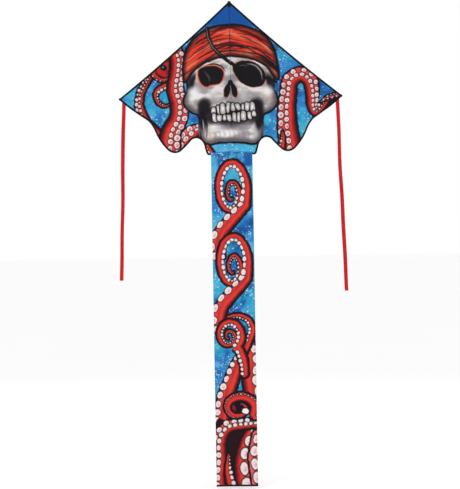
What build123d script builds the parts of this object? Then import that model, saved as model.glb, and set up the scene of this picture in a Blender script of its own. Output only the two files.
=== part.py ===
import math
import os

from build123d import *

os.makedirs("parts", exist_ok=True)

# Driving dimensions in mm. Heights are measured down from the nose, spans along the wing from the seam.
SEAM_Y = 155  # the tow eyelet, at the origin, stands this far in front of the seam
NOSE_Z = 300  # and this far below the nose
DIHEDRAL = 22  # each wing is swept back from flat
HALF_SPAN = 584
TIP_DROP = 435
EDGE_SAG = 8  # the leading edge bows inward at its middle
FLAP_HALF = 125
FLAP_DROP = 721
CLOTH = 0.4
BINDING_WIDTH = 9.5
BINDING_SKIN = 0.3
WING_ROOT = 12  # wing pieces start here, the seam tape is inside it

ROD_R = 2.0
ROD_BORE_R = 2.05
VINYL_R = 3.4
SLEEVE_RUNS = 6  # straight runs that follow the bowed edge
SPAR_IN = 4.2  # spar axis, inward from the leading edge
SPAR_BACK = 4.2  # spar axis, behind the sail's face
ROD_BACK = 9.0  # spreader axis, behind the sail's face
SPREADER_DROP = 412
SPREADER_GAP = 16  # rod end, out from the fold axis
FITTING_SPAN = 543.4

TAIL_HALF = 97.5
TAIL_DROP = 2286
HEADER_TOP = 706
HEADER_BOTTOM = 744
TAIL_TOP = 745
TAIL_FLAT = 1000  # the tail's fold has opened out flat by here
TAIL_BACK = 17  # the flat of the tail stands this far behind the seam
HEM_HEIGHT = 8

RIBBON_WIDTH = 20
RIBBON_SPAN = 556
RIBBON_TOP = 451
RIBBON_BACK = 1.2
LEFT_RIBBON = 860
RIGHT_RIBBON = 927
SPLAY = 2

KEEL_TOP = 150
KEEL_BOTTOM = 600
KEEL_ROOT = 1.0
KEEL_REACH = 171
EYELET_R = 3.0

COS = math.cos(math.radians(DIHEDRAL))
SIN = math.sin(math.radians(DIHEDRAL))
FOLD_Y = ROD_BACK / COS  # fold axis, behind the seam
FOLD_U = FOLD_Y * SIN  # the same axis, measured along the wing

# Working planes: the right wing, the flat front, a level cut at the nose, and the keel.
NOSE = (0, SEAM_Y, NOSE_Z)
wing = Plane(origin=NOSE, x_dir=(COS, SIN, 0), z_dir=(SIN, -COS, 0))
front = Plane(origin=NOSE, x_dir=(1, 0, 0), z_dir=(0, -1, 0))
level = Plane(origin=NOSE, x_dir=(1, 0, 0), z_dir=(0, 0, 1))
side = Plane(origin=NOSE, x_dir=(0, -1, 0), z_dir=(-1, 0, 0))

# Leading edge, and the spar's line a little inside it
EDGE = math.hypot(HALF_SPAN, TIP_DROP)
EDGE_X = HALF_SPAN / EDGE
EDGE_Y = -TIP_DROP / EDGE
EDGE_MID = (
    HALF_SPAN / 2 + EDGE_Y * EDGE_SAG,
    -TIP_DROP / 2 - EDGE_X * EDGE_SAG,
)
SPAR_START = (26 + EDGE_Y * SPAR_IN - 1, -26 * TIP_DROP / HALF_SPAN - EDGE_X * SPAR_IN - 1)
SPAR_MID = (EDGE_MID[0] + EDGE_Y * SPAR_IN, EDGE_MID[1] - EDGE_X * SPAR_IN)
SPAR_END = (
    HALF_SPAN - 15 * EDGE_X + EDGE_Y * (SPAR_IN + 0.65),
    -TIP_DROP - 15 * EDGE_Y - EDGE_X * (SPAR_IN + 0.65),
)

# ---------------------------------------------------------------- right wing

# Outline of one wing, cut square at its root
with BuildSketch(wing) as outline:
    with BuildLine():
        ThreePointArc((0, 0), EDGE_MID, (HALF_SPAN, -TIP_DROP))
        ThreePointArc((HALF_SPAN, -TIP_DROP), (492, -507), (436, -546))
        ThreePointArc((436, -546), (414, -571), (396, -602))
        ThreePointArc((396, -602), (368, -650), (338, -687))
        ThreePointArc((338, -687), (301, -704), (262, -693))
        ThreePointArc((262, -693), (237, -673), (212, -649))
        ThreePointArc((212, -649), (189, -638), (169, -642))
        ThreePointArc((169, -642), (149, -659), (138, -687))
        Polyline((138, -687), (FLAP_HALF, -FLAP_DROP), (0, -FLAP_DROP), (0, 0))
    make_face()

# The cloth, held 0.6 mm inside the bound edge
with BuildPart() as right_sail:
    with BuildSketch(wing.offset(-CLOTH)):
        add(outline.sketch_local)
        offset(amount=-0.6, mode=Mode.REPLACE)
        with Locations((0, -FLAP_DROP / 2)):
            Rectangle(2 * WING_ROOT, FLAP_DROP + 20, mode=Mode.SUBTRACT)
    extrude(amount=CLOTH)
right_sail.part.label = "right_sail"

# Black binding folded over the trailing edge, front and back
with BuildPart() as right_trailing_binding:
    with BuildSketch(wing.offset(-CLOTH - BINDING_SKIN)):
        add(outline.sketch_local)
        add(offset(outline.sketch_local, amount=-BINDING_WIDTH, mode=Mode.PRIVATE), mode=Mode.SUBTRACT)
        with Locations((0, -FLAP_DROP / 2)):
            Rectangle(2 * WING_ROOT, FLAP_DROP + 20, mode=Mode.SUBTRACT)
        with BuildLine():
            Polyline((0, 40), (620, 40), (620, -454), (590, -454), (540, -420), (0, -60), (0, 40))
        make_face(mode=Mode.SUBTRACT)
    extrude(amount=CLOTH + 2 * BINDING_SKIN)
    add(right_sail.part, mode=Mode.SUBTRACT)
right_trailing_binding.part.label = "right_trailing_binding"

# Spar in the sleeve, bowed with the edge, and its soft end caps
with BuildPart() as right_leading_spar:
    with BuildLine(wing.offset(-SPAR_BACK)) as spar_line:
        ThreePointArc(SPAR_START, SPAR_MID, SPAR_END)
    with BuildSketch(Plane(origin=spar_line.line @ 0, z_dir=spar_line.line % 0)):
        Circle(ROD_R)
    sweep(path=spar_line.line)
right_leading_spar.part.label = "right_leading_spar"

with BuildPart() as right_spar_nose_cap:
    with BuildSketch(Plane(origin=spar_line.line @ 0, z_dir=spar_line.line % 0)):
        Circle(2.0)
    extrude(amount=-2)
right_spar_nose_cap.part.label = "right_spar_nose_cap"

with BuildPart() as right_spar_tip_cap:
    with BuildSketch(Plane(origin=spar_line.line @ 1, z_dir=spar_line.line % 1)):
        Circle(2.2)
    extrude(amount=3)
right_spar_tip_cap.part.label = "right_spar_tip_cap"

# Vinyl fitting: a barrel on the spar and a socket for the spreader, crossing behind it
FITTING_AT = 1 - (HALF_SPAN - 12 - FITTING_SPAN) / (HALF_SPAN - 40)
barrel_plane = Plane(origin=spar_line.line @ FITTING_AT, z_dir=spar_line.line % FITTING_AT)
socket_face = Plane(
    origin=wing.from_local_coords(Vector(FITTING_SPAN + 5, -SPREADER_DROP, -ROD_BACK)),
    x_dir=(0, 0, 1),
    z_dir=(-COS, -SIN, 0),
)
with BuildPart() as right_spreader_fitting:
    with BuildSketch(barrel_plane):
        Circle(VINYL_R)
    extrude(amount=12, both=True)
    with BuildSketch(socket_face):
        Circle(VINYL_R)
    extrude(amount=32)
    with BuildSketch(barrel_plane):
        Circle(ROD_BORE_R)
    extrude(amount=14, both=True, mode=Mode.SUBTRACT)
    with BuildSketch(socket_face.offset(4)):
        Circle(ROD_BORE_R)
    extrude(amount=32, mode=Mode.SUBTRACT)
right_spreader_fitting.part.label = "right_spreader_fitting"

# Black sleeve over the leading edge: a skin round the cloth's edge with the spar's pocket behind it
with BuildPart() as right_leading_sleeve:
    with BuildLine(wing, mode=Mode.PRIVATE) as edge_arc:
        ThreePointArc((0, 0), EDGE_MID, (HALF_SPAN, -TIP_DROP))
    with BuildLine() as edge_line:
        Polyline([edge_arc.line @ (i / SLEEVE_RUNS) for i in range(SLEEVE_RUNS + 1)])
    across = Plane(
        origin=edge_line.line @ 0,
        x_dir=(edge_line.line % 0).cross(Vector(SIN, -COS, 0)),
        z_dir=-(edge_line.line % 0),
    )
    with BuildSketch(across):
        with BuildLine():
            Polyline((6.9, -SPAR_BACK), (7.6, -0.75), (10, -0.75), (10, 0.35), (0, 0.35), (1.5, -SPAR_BACK))
            ThreePointArc((1.5, -SPAR_BACK), (SPAR_IN, -SPAR_BACK - 2.7), (6.9, -SPAR_BACK))
        make_face()
        with BuildLine():
            Polyline((6.55, -SPAR_BACK), (7.1, -0.75), (1.0, -0.75), (1.85, -SPAR_BACK))
            ThreePointArc((1.85, -SPAR_BACK), (SPAR_IN, -SPAR_BACK - 2.35), (6.55, -SPAR_BACK))
        make_face(mode=Mode.SUBTRACT)
        with BuildLine():
            Polyline((0.3, -CLOTH), (11, -CLOTH), (11, 0), (0.3, 0), (0.3, -CLOTH))
        make_face(mode=Mode.SUBTRACT)
    sweep(path=edge_line.line, transition=Transition.RIGHT)
    with BuildSketch(wing.offset(-12)):
        with Locations((0, -8)):
            Rectangle(2 * WING_ROOT, 60)
        with Locations((HALF_SPAN + 8, -TIP_DROP)):
            Rectangle(20, 60)
    extrude(amount=14, mode=Mode.SUBTRACT)
    with BuildSketch(barrel_plane):
        Circle(VINYL_R + 0.1)
    extrude(amount=15, both=True, mode=Mode.SUBTRACT)
right_leading_sleeve.part.label = "right_leading_sleeve"

# Half spreader, from the centre joint to the fitting's socket
with BuildPart() as right_spreader_rod:
    with BuildSketch(socket_face.offset(4)):
        Circle(ROD_R)
    extrude(amount=FITTING_SPAN + 1 - FOLD_U - SPREADER_GAP)
right_spreader_rod.part.label = "right_spreader_rod"

# Corner patch behind the wing tip, and the stitched tab that holds the streamer
with BuildPart() as right_tip_patch:
    with BuildSketch(wing.offset(-CLOTH - 0.35)):
        with BuildLine():
            Polyline((562, -436.5), (499, -393), (501, -482), (562, -436.5))
        make_face()
    extrude(amount=0.35)
right_tip_patch.part.label = "right_tip_patch"

with BuildPart() as right_streamer_tab:
    with BuildSketch(wing.offset(-1.15)):
        with Locations((RIBBON_SPAN, -441.7)):
            Rectangle(RIBBON_WIDTH, 15.5)
    extrude(amount=0.4)
right_streamer_tab.part.label = "right_streamer_tab"

# Ribbon streamers, splayed a little outward
SPLAY_X = math.sin(math.radians(SPLAY))
SPLAY_Y = -math.cos(math.radians(SPLAY))
RIBBON_IN = RIBBON_SPAN - RIBBON_WIDTH / 2
RIBBON_OUT = RIBBON_SPAN + RIBBON_WIDTH / 2
with BuildPart() as right_streamer:
    with BuildSketch(wing.offset(-RIBBON_BACK - CLOTH / 2)):
        with BuildLine():
            Polyline(
                (RIBBON_IN, -RIBBON_TOP),
                (RIBBON_OUT, -RIBBON_TOP),
                (RIBBON_OUT + RIGHT_RIBBON * SPLAY_X, -RIBBON_TOP + RIGHT_RIBBON * SPLAY_Y),
                (RIBBON_IN + RIGHT_RIBBON * SPLAY_X, -RIBBON_TOP + RIGHT_RIBBON * SPLAY_Y),
                (RIBBON_IN, -RIBBON_TOP),
            )
        make_face()
    extrude(amount=CLOTH)
right_streamer.part.label = "right_streamer"

with BuildPart() as left_streamer:
    with BuildSketch(wing.offset(-RIBBON_BACK - CLOTH / 2)):
        with BuildLine():
            Polyline(
                (RIBBON_IN, -RIBBON_TOP),
                (RIBBON_OUT, -RIBBON_TOP),
                (RIBBON_OUT + LEFT_RIBBON * SPLAY_X, -RIBBON_TOP + LEFT_RIBBON * SPLAY_Y),
                (RIBBON_IN + LEFT_RIBBON * SPLAY_X, -RIBBON_TOP + LEFT_RIBBON * SPLAY_Y),
                (RIBBON_IN, -RIBBON_TOP),
            )
        make_face()
    extrude(amount=CLOTH)
    mirror(about=Plane.YZ, mode=Mode.REPLACE)
left_streamer.part.label = "left_streamer"

# ---------------------------------------------------------------- left wing, the mirror image of the right

with BuildPart() as left_sail:
    mirror(right_sail.part, about=Plane.YZ)
left_sail.part.label = "left_sail"

with BuildPart() as left_trailing_binding:
    mirror(right_trailing_binding.part, about=Plane.YZ)
left_trailing_binding.part.label = "left_trailing_binding"

with BuildPart() as left_leading_sleeve:
    mirror(right_leading_sleeve.part, about=Plane.YZ)
left_leading_sleeve.part.label = "left_leading_sleeve"

with BuildPart() as left_leading_spar:
    mirror(right_leading_spar.part, about=Plane.YZ)
left_leading_spar.part.label = "left_leading_spar"

with BuildPart() as left_spar_nose_cap:
    mirror(right_spar_nose_cap.part, about=Plane.YZ)
left_spar_nose_cap.part.label = "left_spar_nose_cap"

with BuildPart() as left_spar_tip_cap:
    mirror(right_spar_tip_cap.part, about=Plane.YZ)
left_spar_tip_cap.part.label = "left_spar_tip_cap"

with BuildPart() as left_spreader_fitting:
    mirror(right_spreader_fitting.part, about=Plane.YZ)
left_spreader_fitting.part.label = "left_spreader_fitting"

with BuildPart() as left_spreader_rod:
    mirror(right_spreader_rod.part, about=Plane.YZ)
left_spreader_rod.part.label = "left_spreader_rod"

with BuildPart() as left_tip_patch:
    mirror(right_tip_patch.part, about=Plane.YZ)
left_tip_patch.part.label = "left_tip_patch"

with BuildPart() as left_streamer_tab:
    mirror(right_streamer_tab.part, about=Plane.YZ)
left_streamer_tab.part.label = "left_streamer_tab"

# ---------------------------------------------------------------- centre

SPINE_BACK = 4.2  # spine axis, behind the seam
SPINE_TOP = 24
SPINE_FOOT = 698
JOINT_HALF = 8  # half height of the joint's collar on the spine

with BuildPart() as spine_rod:
    with BuildSketch(level.offset(-SPINE_TOP)):
        with Locations((0, SPINE_BACK)):
            Circle(ROD_R)
    extrude(amount=SPINE_TOP - SPINE_FOOT)
spine_rod.part.label = "spine_rod"

with BuildPart() as spine_nose_cap:
    with BuildSketch(level.offset(-SPINE_TOP)):
        with Locations((0, SPINE_BACK)):
            Circle(2.3)
    extrude(amount=3)
spine_nose_cap.part.label = "spine_nose_cap"

with BuildPart() as spine_foot_cap:
    with BuildSketch(level.offset(-SPINE_FOOT)):
        with Locations((0, SPINE_BACK)):
            Circle(2.3)
    extrude(amount=-3)
spine_foot_cap.part.label = "spine_foot_cap"

# Tape sewn down the seam
with BuildPart() as seam_tape:
    with BuildSketch(front.offset(-CLOTH)):
        with Locations((0, -358)):
            Rectangle(13, 706)
    extrude(amount=CLOTH)
seam_tape.part.label = "seam_tape"

# Sleeve round the spine behind the tape, in two lengths with the joint between them
with BuildPart() as upper_spine_sleeve:
    with BuildSketch(level.offset(-34)):
        with Locations((0, SPINE_BACK)):
            Circle(2.65)
        with Locations((0, 1.2)):
            Rectangle(1.6, 1.6)
        with Locations((0, SPINE_BACK)):
            Circle(2.35, mode=Mode.SUBTRACT)
    extrude(amount=34 - SPREADER_DROP + JOINT_HALF + 4)
upper_spine_sleeve.part.label = "upper_spine_sleeve"

with BuildPart() as lower_spine_sleeve:
    with BuildSketch(level.offset(-SPREADER_DROP - JOINT_HALF - 4)):
        with Locations((0, SPINE_BACK)):
            Circle(2.65)
        with Locations((0, 1.2)):
            Rectangle(1.6, 1.6)
        with Locations((0, SPINE_BACK)):
            Circle(2.35, mode=Mode.SUBTRACT)
    extrude(amount=SPREADER_DROP + JOINT_HALF + 4 - 686)
lower_spine_sleeve.part.label = "lower_spine_sleeve"

# Webbing folded over the nose and over the foot, holding the ends of the spine
with BuildPart() as nose_pocket:
    with BuildSketch(level):
        with Locations((0, 3.5)):
            Rectangle(15, 8.6)
    extrude(amount=-28)
    with BuildSketch(level.offset(-1.2)):
        with Locations((0, SPINE_BACK)):
            Rectangle(13.4, 5.8)
    extrude(amount=-30, mode=Mode.SUBTRACT)
    with BuildSketch(level.offset(-5)):
        with Locations((0, 0.2)):
            Rectangle(13, CLOTH)
    extrude(amount=-30, mode=Mode.SUBTRACT)
nose_pocket.part.label = "nose_pocket"

with BuildPart() as foot_pocket:
    with BuildSketch(level.offset(-716)):
        with Locations((0, 4.4)):
            Rectangle(13, 8)
    extrude(amount=28)
    with BuildSketch(level.offset(-714.8)):
        with Locations((0, 4.4)):
            Rectangle(11.4, 6.2)
    extrude(amount=30, mode=Mode.SUBTRACT)
foot_pocket.part.label = "foot_pocket"

# Soft vinyl joint: a collar on the spine and a bent tube that takes both half spreaders
right_arm = Plane(origin=(0, SEAM_Y + FOLD_Y, NOSE_Z - SPREADER_DROP), x_dir=(0, 0, 1), z_dir=(COS, SIN, 0))
left_arm = Plane(origin=(0, SEAM_Y + FOLD_Y, NOSE_Z - SPREADER_DROP), x_dir=(0, 0, 1), z_dir=(-COS, SIN, 0))
with BuildPart() as centre_joint:
    with BuildSketch(right_arm):
        Circle(VINYL_R)
    extrude(amount=42)
    with BuildSketch(left_arm):
        Circle(VINYL_R)
    extrude(amount=42)
    with BuildSketch(level.offset(-SPREADER_DROP)):
        with Locations((0, SPINE_BACK)):
            Circle(VINYL_R)
    extrude(amount=JOINT_HALF, both=True)
    with BuildSketch(right_arm.offset(SPREADER_GAP - 0.5)):
        Circle(ROD_BORE_R)
    extrude(amount=30, mode=Mode.SUBTRACT)
    with BuildSketch(left_arm.offset(SPREADER_GAP - 0.5)):
        Circle(ROD_BORE_R)
    extrude(amount=30, mode=Mode.SUBTRACT)
    with BuildSketch(level.offset(-SPREADER_DROP)):
        with Locations((0, SPINE_BACK)):
            Circle(ROD_BORE_R)
    extrude(amount=JOINT_HALF + 2, both=True, mode=Mode.SUBTRACT)
centre_joint.part.label = "centre_joint"

# ---------------------------------------------------------------- tail

FACE = 0.6  # the tail's cloth lies this far in front of the flap's, measured square to the wing
V_FRONT = (FACE + CLOTH) / COS
V_BACK = FACE / COS
V_DROP = TAIL_HALF * SIN / COS
V_EASE = 2.6  # and its fold stands this much further out, clear of the seam tape

with BuildPart() as tail_header:
    with BuildSketch(level.offset(-HEADER_BOTTOM)):
        with BuildLine():
            Polyline(
                (-TAIL_HALF, V_DROP - V_FRONT),
                (0, -V_FRONT - V_EASE),
                (TAIL_HALF, V_DROP - V_FRONT),
                (TAIL_HALF, V_DROP - V_BACK),
                (0, -V_BACK - V_EASE),
                (-TAIL_HALF, V_DROP - V_BACK),
                (-TAIL_HALF, V_DROP - V_FRONT),
            )
        make_face()
    extrude(amount=HEADER_BOTTOM - HEADER_TOP)
tail_header.part.label = "tail_header"

with BuildPart() as tail_panel:
    with BuildSketch(level.offset(-TAIL_TOP)):
        with BuildLine():
            Polyline(
                (0, -V_FRONT - V_EASE),
                (TAIL_HALF, V_DROP - V_FRONT),
                (TAIL_HALF, V_DROP - V_BACK),
                (0, -V_BACK - V_EASE),
                (0, -V_FRONT - V_EASE),
            )
        make_face()
    with BuildSketch(level.offset(-TAIL_FLAT)):
        with Locations((TAIL_HALF / 2, TAIL_BACK - CLOTH / 2)):
            Rectangle(TAIL_HALF, CLOTH)
    loft(ruled=True)
    mirror(about=Plane.YZ)
    with BuildSketch(level.offset(-TAIL_FLAT)):
        with Locations((0, TAIL_BACK - CLOTH / 2)):
            Rectangle(2 * TAIL_HALF, CLOTH)
    extrude(amount=TAIL_FLAT + 1 - TAIL_DROP)
tail_panel.part.label = "tail_panel"

# Dark hem folded over the tail's end
with BuildPart() as tail_hem:
    with BuildSketch(level.offset(-TAIL_DROP)):
        with Locations((0, TAIL_BACK - CLOTH / 2)):
            Rectangle(2 * TAIL_HALF, CLOTH + 0.6)
    extrude(amount=HEM_HEIGHT)
    with BuildSketch(level.offset(1 - TAIL_DROP)):
        with Locations((0, TAIL_BACK - CLOTH / 2)):
            Rectangle(2 * TAIL_HALF, CLOTH)
    extrude(amount=HEM_HEIGHT, mode=Mode.SUBTRACT)
tail_hem.part.label = "tail_hem"

# ---------------------------------------------------------------- keel

# Outline seen from the side: distance in front of the seam, and height
with BuildSketch(side) as keel_outline:
    with BuildLine():
        Polyline((KEEL_ROOT, -KEEL_TOP), (KEEL_REACH - 12, -NOSE_Z + 16))
        ThreePointArc((KEEL_REACH - 12, -NOSE_Z + 16), (KEEL_REACH, -NOSE_Z - 2), (KEEL_REACH - 10, -NOSE_Z - 20))
        Polyline((KEEL_REACH - 10, -NOSE_Z - 20), (KEEL_ROOT, -KEEL_BOTTOM), (KEEL_ROOT, -KEEL_TOP))
    make_face()

with BuildPart() as keel_panel:
    with BuildSketch(side):
        add(keel_outline.sketch_local)
        offset(amount=-0.6, mode=Mode.REPLACE)
        with Locations((SEAM_Y, -NOSE_Z)):
            Circle(EYELET_R + 1.2, mode=Mode.SUBTRACT)
    extrude(amount=CLOTH / 2, both=True)
keel_panel.part.label = "keel_panel"

with BuildPart() as keel_binding:
    with BuildSketch(side):
        add(keel_outline.sketch_local)
        add(offset(keel_outline.sketch_local, amount=-8, mode=Mode.PRIVATE), mode=Mode.SUBTRACT)
        with Locations((0, -400)):
            Rectangle(22, 560, mode=Mode.SUBTRACT)
    extrude(amount=CLOTH / 2 + BINDING_SKIN, both=True)
    add(keel_panel.part, mode=Mode.SUBTRACT)
keel_binding.part.label = "keel_binding"

# Corner patches on both faces of the keel, and the brass eyelet with its washer through them
with BuildPart() as keel_patch_right:
    with BuildSketch(side.offset(-CLOTH / 2 - 0.3)):
        add(offset(keel_outline.sketch_local, amount=-8, mode=Mode.PRIVATE))
        with Locations((50, -400)):
            Rectangle(120, 560, mode=Mode.SUBTRACT)
        with Locations((SEAM_Y, -NOSE_Z)):
            Circle(EYELET_R + 1.2, mode=Mode.SUBTRACT)
    extrude(amount=0.3)
keel_patch_right.part.label = "keel_patch_right"

with BuildPart() as keel_patch_left:
    mirror(keel_patch_right.part, about=Plane.YZ)
keel_patch_left.part.label = "keel_patch_left"

eyelet = Plane(origin=(0, 0, 0), x_dir=(0, -1, 0), z_dir=(-1, 0, 0))
with BuildPart() as tow_eyelet:
    with BuildSketch(eyelet):
        Circle(EYELET_R + 1.2)
    extrude(amount=1.6, both=True)
    with BuildSketch(eyelet.offset(-1.6)):
        Circle(EYELET_R + 3.5)
    extrude(amount=1.1)
    with BuildSketch(eyelet):
        Circle(EYELET_R)
    extrude(amount=2, both=True, mode=Mode.SUBTRACT)
tow_eyelet.part.label = "tow_eyelet"

with BuildPart() as eyelet_washer:
    with BuildSketch(eyelet.offset(0.5)):
        Circle(EYELET_R + 3.5)
        Circle(EYELET_R + 1.2, mode=Mode.SUBTRACT)
    extrude(amount=0.8)
eyelet_washer.part.label = "eyelet_washer"

# ---------------------------------------------------------------- files

export_step(right_sail.part, "parts/right_sail.step")
export_step(right_trailing_binding.part, "parts/right_trailing_binding.step")
export_step(right_leading_spar.part, "parts/right_leading_spar.step")
export_step(right_spar_nose_cap.part, "parts/right_spar_nose_cap.step")
export_step(right_spar_tip_cap.part, "parts/right_spar_tip_cap.step")
export_step(right_spreader_fitting.part, "parts/right_spreader_fitting.step")
export_step(right_leading_sleeve.part, "parts/right_leading_sleeve.step")
export_step(right_spreader_rod.part, "parts/right_spreader_rod.step")
export_step(right_tip_patch.part, "parts/right_tip_patch.step")
export_step(right_streamer_tab.part, "parts/right_streamer_tab.step")
export_step(right_streamer.part, "parts/right_streamer.step")
export_step(left_streamer.part, "parts/left_streamer.step")
export_step(left_sail.part, "parts/left_sail.step")
export_step(left_trailing_binding.part, "parts/left_trailing_binding.step")
export_step(left_leading_sleeve.part, "parts/left_leading_sleeve.step")
export_step(left_leading_spar.part, "parts/left_leading_spar.step")
export_step(left_spar_nose_cap.part, "parts/left_spar_nose_cap.step")
export_step(left_spar_tip_cap.part, "parts/left_spar_tip_cap.step")
export_step(left_spreader_fitting.part, "parts/left_spreader_fitting.step")
export_step(left_spreader_rod.part, "parts/left_spreader_rod.step")
export_step(left_tip_patch.part, "parts/left_tip_patch.step")
export_step(left_streamer_tab.part, "parts/left_streamer_tab.step")
export_step(spine_rod.part, "parts/spine_rod.step")
export_step(spine_nose_cap.part, "parts/spine_nose_cap.step")
export_step(spine_foot_cap.part, "parts/spine_foot_cap.step")
export_step(seam_tape.part, "parts/seam_tape.step")
export_step(upper_spine_sleeve.part, "parts/upper_spine_sleeve.step")
export_step(lower_spine_sleeve.part, "parts/lower_spine_sleeve.step")
export_step(nose_pocket.part, "parts/nose_pocket.step")
export_step(foot_pocket.part, "parts/foot_pocket.step")
export_step(centre_joint.part, "parts/centre_joint.step")
export_step(tail_header.part, "parts/tail_header.step")
export_step(tail_panel.part, "parts/tail_panel.step")
export_step(tail_hem.part, "parts/tail_hem.step")
export_step(keel_panel.part, "parts/keel_panel.step")
export_step(keel_binding.part, "parts/keel_binding.step")
export_step(keel_patch_right.part, "parts/keel_patch_right.step")
export_step(keel_patch_left.part, "parts/keel_patch_left.step")
export_step(tow_eyelet.part, "parts/tow_eyelet.step")
export_step(eyelet_washer.part, "parts/eyelet_washer.step")
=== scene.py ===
"""A delta kite hung face on: printed sail, keel, long printed tail and two ribbon streamers."""
import math

import bmesh
import bpy
import numpy as np
from mathutils import Matrix, Vector


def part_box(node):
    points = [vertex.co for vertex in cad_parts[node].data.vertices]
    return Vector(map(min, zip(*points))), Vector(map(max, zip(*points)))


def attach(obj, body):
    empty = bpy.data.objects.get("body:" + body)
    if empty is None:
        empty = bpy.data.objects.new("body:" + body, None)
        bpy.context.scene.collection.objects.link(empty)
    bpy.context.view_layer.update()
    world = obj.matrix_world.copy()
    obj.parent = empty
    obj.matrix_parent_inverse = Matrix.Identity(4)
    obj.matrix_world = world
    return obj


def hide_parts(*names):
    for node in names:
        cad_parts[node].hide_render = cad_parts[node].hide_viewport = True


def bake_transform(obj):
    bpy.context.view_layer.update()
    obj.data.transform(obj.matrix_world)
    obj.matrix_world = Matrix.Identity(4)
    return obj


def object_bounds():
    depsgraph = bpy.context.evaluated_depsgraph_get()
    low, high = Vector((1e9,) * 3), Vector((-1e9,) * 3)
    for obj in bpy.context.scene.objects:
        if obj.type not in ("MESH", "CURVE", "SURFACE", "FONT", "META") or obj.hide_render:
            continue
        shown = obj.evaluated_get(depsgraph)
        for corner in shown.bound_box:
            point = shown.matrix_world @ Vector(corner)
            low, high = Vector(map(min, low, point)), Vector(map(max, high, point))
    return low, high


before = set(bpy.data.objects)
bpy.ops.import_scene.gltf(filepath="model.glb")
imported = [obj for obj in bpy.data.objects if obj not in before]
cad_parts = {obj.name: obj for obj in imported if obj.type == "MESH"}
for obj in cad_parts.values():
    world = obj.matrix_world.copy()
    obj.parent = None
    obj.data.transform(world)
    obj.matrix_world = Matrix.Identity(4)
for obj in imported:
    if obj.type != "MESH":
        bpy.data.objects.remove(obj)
CAD_BOX = [[float(c) for c in corner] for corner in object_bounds()]

# ------------------------------------------------------------------ where things are, in mm, as in the CAD
MM = 0.001
SEAM_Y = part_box("seam_tape")[0][1] / MM
NOSE_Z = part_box("nose_pocket")[1][2] / MM
WING_TURN = math.radians(22)
C, S = math.cos(WING_TURN), math.sin(WING_TURN)
V_SLOPE = S / C
HALF_SPAN, TIP_DROP, EDGE_SAG = 584.0, 435.0, 10.0
SPREADER_DROP = 412.0
TAIL_HALF, TAIL_TOP, TAIL_FLAT, TAIL_DROP, TAIL_BACK = 97.5, 744.5, 1000.0, 2286.0, 17.0
# the lap: its top, its row of stitches, and between which drops it passes from the wing to the tail
LAP_TOP, LAP_ROW, LAP_ON_WING, LAP_ON_TAIL = 708.0, 722.0, 721.5, 743.0
SPAR_BACK = 4.2
FITTING_SPAN = 543.4
BINDING = 9.5
RIBBON_SPAN, RIBBON_TOP, RIBBON_HALF, RIBBON_BACK, SPLAY = 556.0, 451.0, 10.0, -1.6, math.radians(2)
# the print's own width for each mm of the wing's span
PRINT_ACROSS = 0.897
LEFT, RIGHT = -1, 1
SIDES = ((LEFT, "left"), (RIGHT, "right"))
FORWARD, BACKWARD, UPWARD = (0.0, -1.0, 0.0), (0.0, 1.0, 0.0), (0.0, 0.0, 1.0)
# length, pitch and radius of a row of stitches
THIN_ROW, TACK_ROW, WEBBING_ROW = (2.6, 4.4, 0.22), (1.8, 2.8, 0.22), (2.0, 3.0, 0.3)
LONG_ROW = (9.0, 15.0, 0.75)


def smooth(a, b, x):
    """0 at a, 1 at b and an even curve between them."""
    t = np.clip((x - a) / (b - a), 0, 1)
    return t * t * (3 - 2 * t)


def unit(v):
    return v / np.maximum(np.linalg.norm(v, axis=-1, keepdims=True), 1e-12)


def run_along(line):
    """How far along a 2-D line each of its points is."""
    return np.concatenate([[0], np.cumsum(np.hypot(*np.diff(line, axis=0).T))])


def spread(values, f):
    """The value at share f of a list that is spread evenly from 0 to 1."""
    return np.interp(f, np.linspace(0, 1, len(values)), values)


def left_of(line):
    """Unit directions on the left of a 2-D line."""
    t = unit(np.gradient(line, axis=0))
    return np.stack([-t[:, 1], t[:, 0]], 1)


def arc(p0, pm, p1, n=14):
    """Points along the circle through three points, without the last one."""
    (ax, ay), (bx, by), (cx, cy) = p0, pm, p1
    d = 2 * (ax * (by - cy) + bx * (cy - ay) + cx * (ay - by))
    a2, b2, c2 = ax * ax + ay * ay, bx * bx + by * by, cx * cx + cy * cy
    ox = (a2 * (by - cy) + b2 * (cy - ay) + c2 * (ay - by)) / d
    oy = (a2 * (cx - bx) + b2 * (ax - cx) + c2 * (bx - ax)) / d
    t0, t1 = math.atan2(ay - oy, ax - ox), math.atan2(cy - oy, cx - ox)
    turn = (bx - ax) * (cy - ay) - (by - ay) * (cx - ax)
    if turn > 0 and t1 < t0:
        t1 += 2 * math.pi
    if turn < 0 and t1 > t0:
        t1 -= 2 * math.pi
    t = np.linspace(t0, t1, n, endpoint=False)
    r = math.hypot(ax - ox, ay - oy)
    return np.stack([ox + r * np.cos(t), oy + r * np.sin(t)], 1)


# Trailing edge of a wing from its tip to the flap's corner, then along the flap's foot
TRAILING = np.concatenate([
    arc((584, -435), (492, -507), (436, -546), 40),
    arc((436, -546), (414, -571), (396, -602), 16),
    arc((396, -602), (368, -650), (338, -687), 24),
    arc((338, -687), (301, -704), (262, -693), 24),
    arc((262, -693), (237, -673), (212, -649), 16),
    arc((212, -649), (189, -638), (169, -642), 16),
    arc((169, -642), (149, -659), (138, -687), 18),
    [(138, -687), (134, -698), (130.5, -709), (126, -717.5), (119, -721)],
    np.stack([np.linspace(112, 0, 28), np.full(28, -721.0)], 1),
])


def leading_v(u):
    f = u / HALF_SPAN
    return -TIP_DROP * f - 4 * EDGE_SAG * f * (1 - f)


def trailing_v(u):
    return np.interp(u, TRAILING[::-1, 0], TRAILING[::-1, 1])


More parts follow.
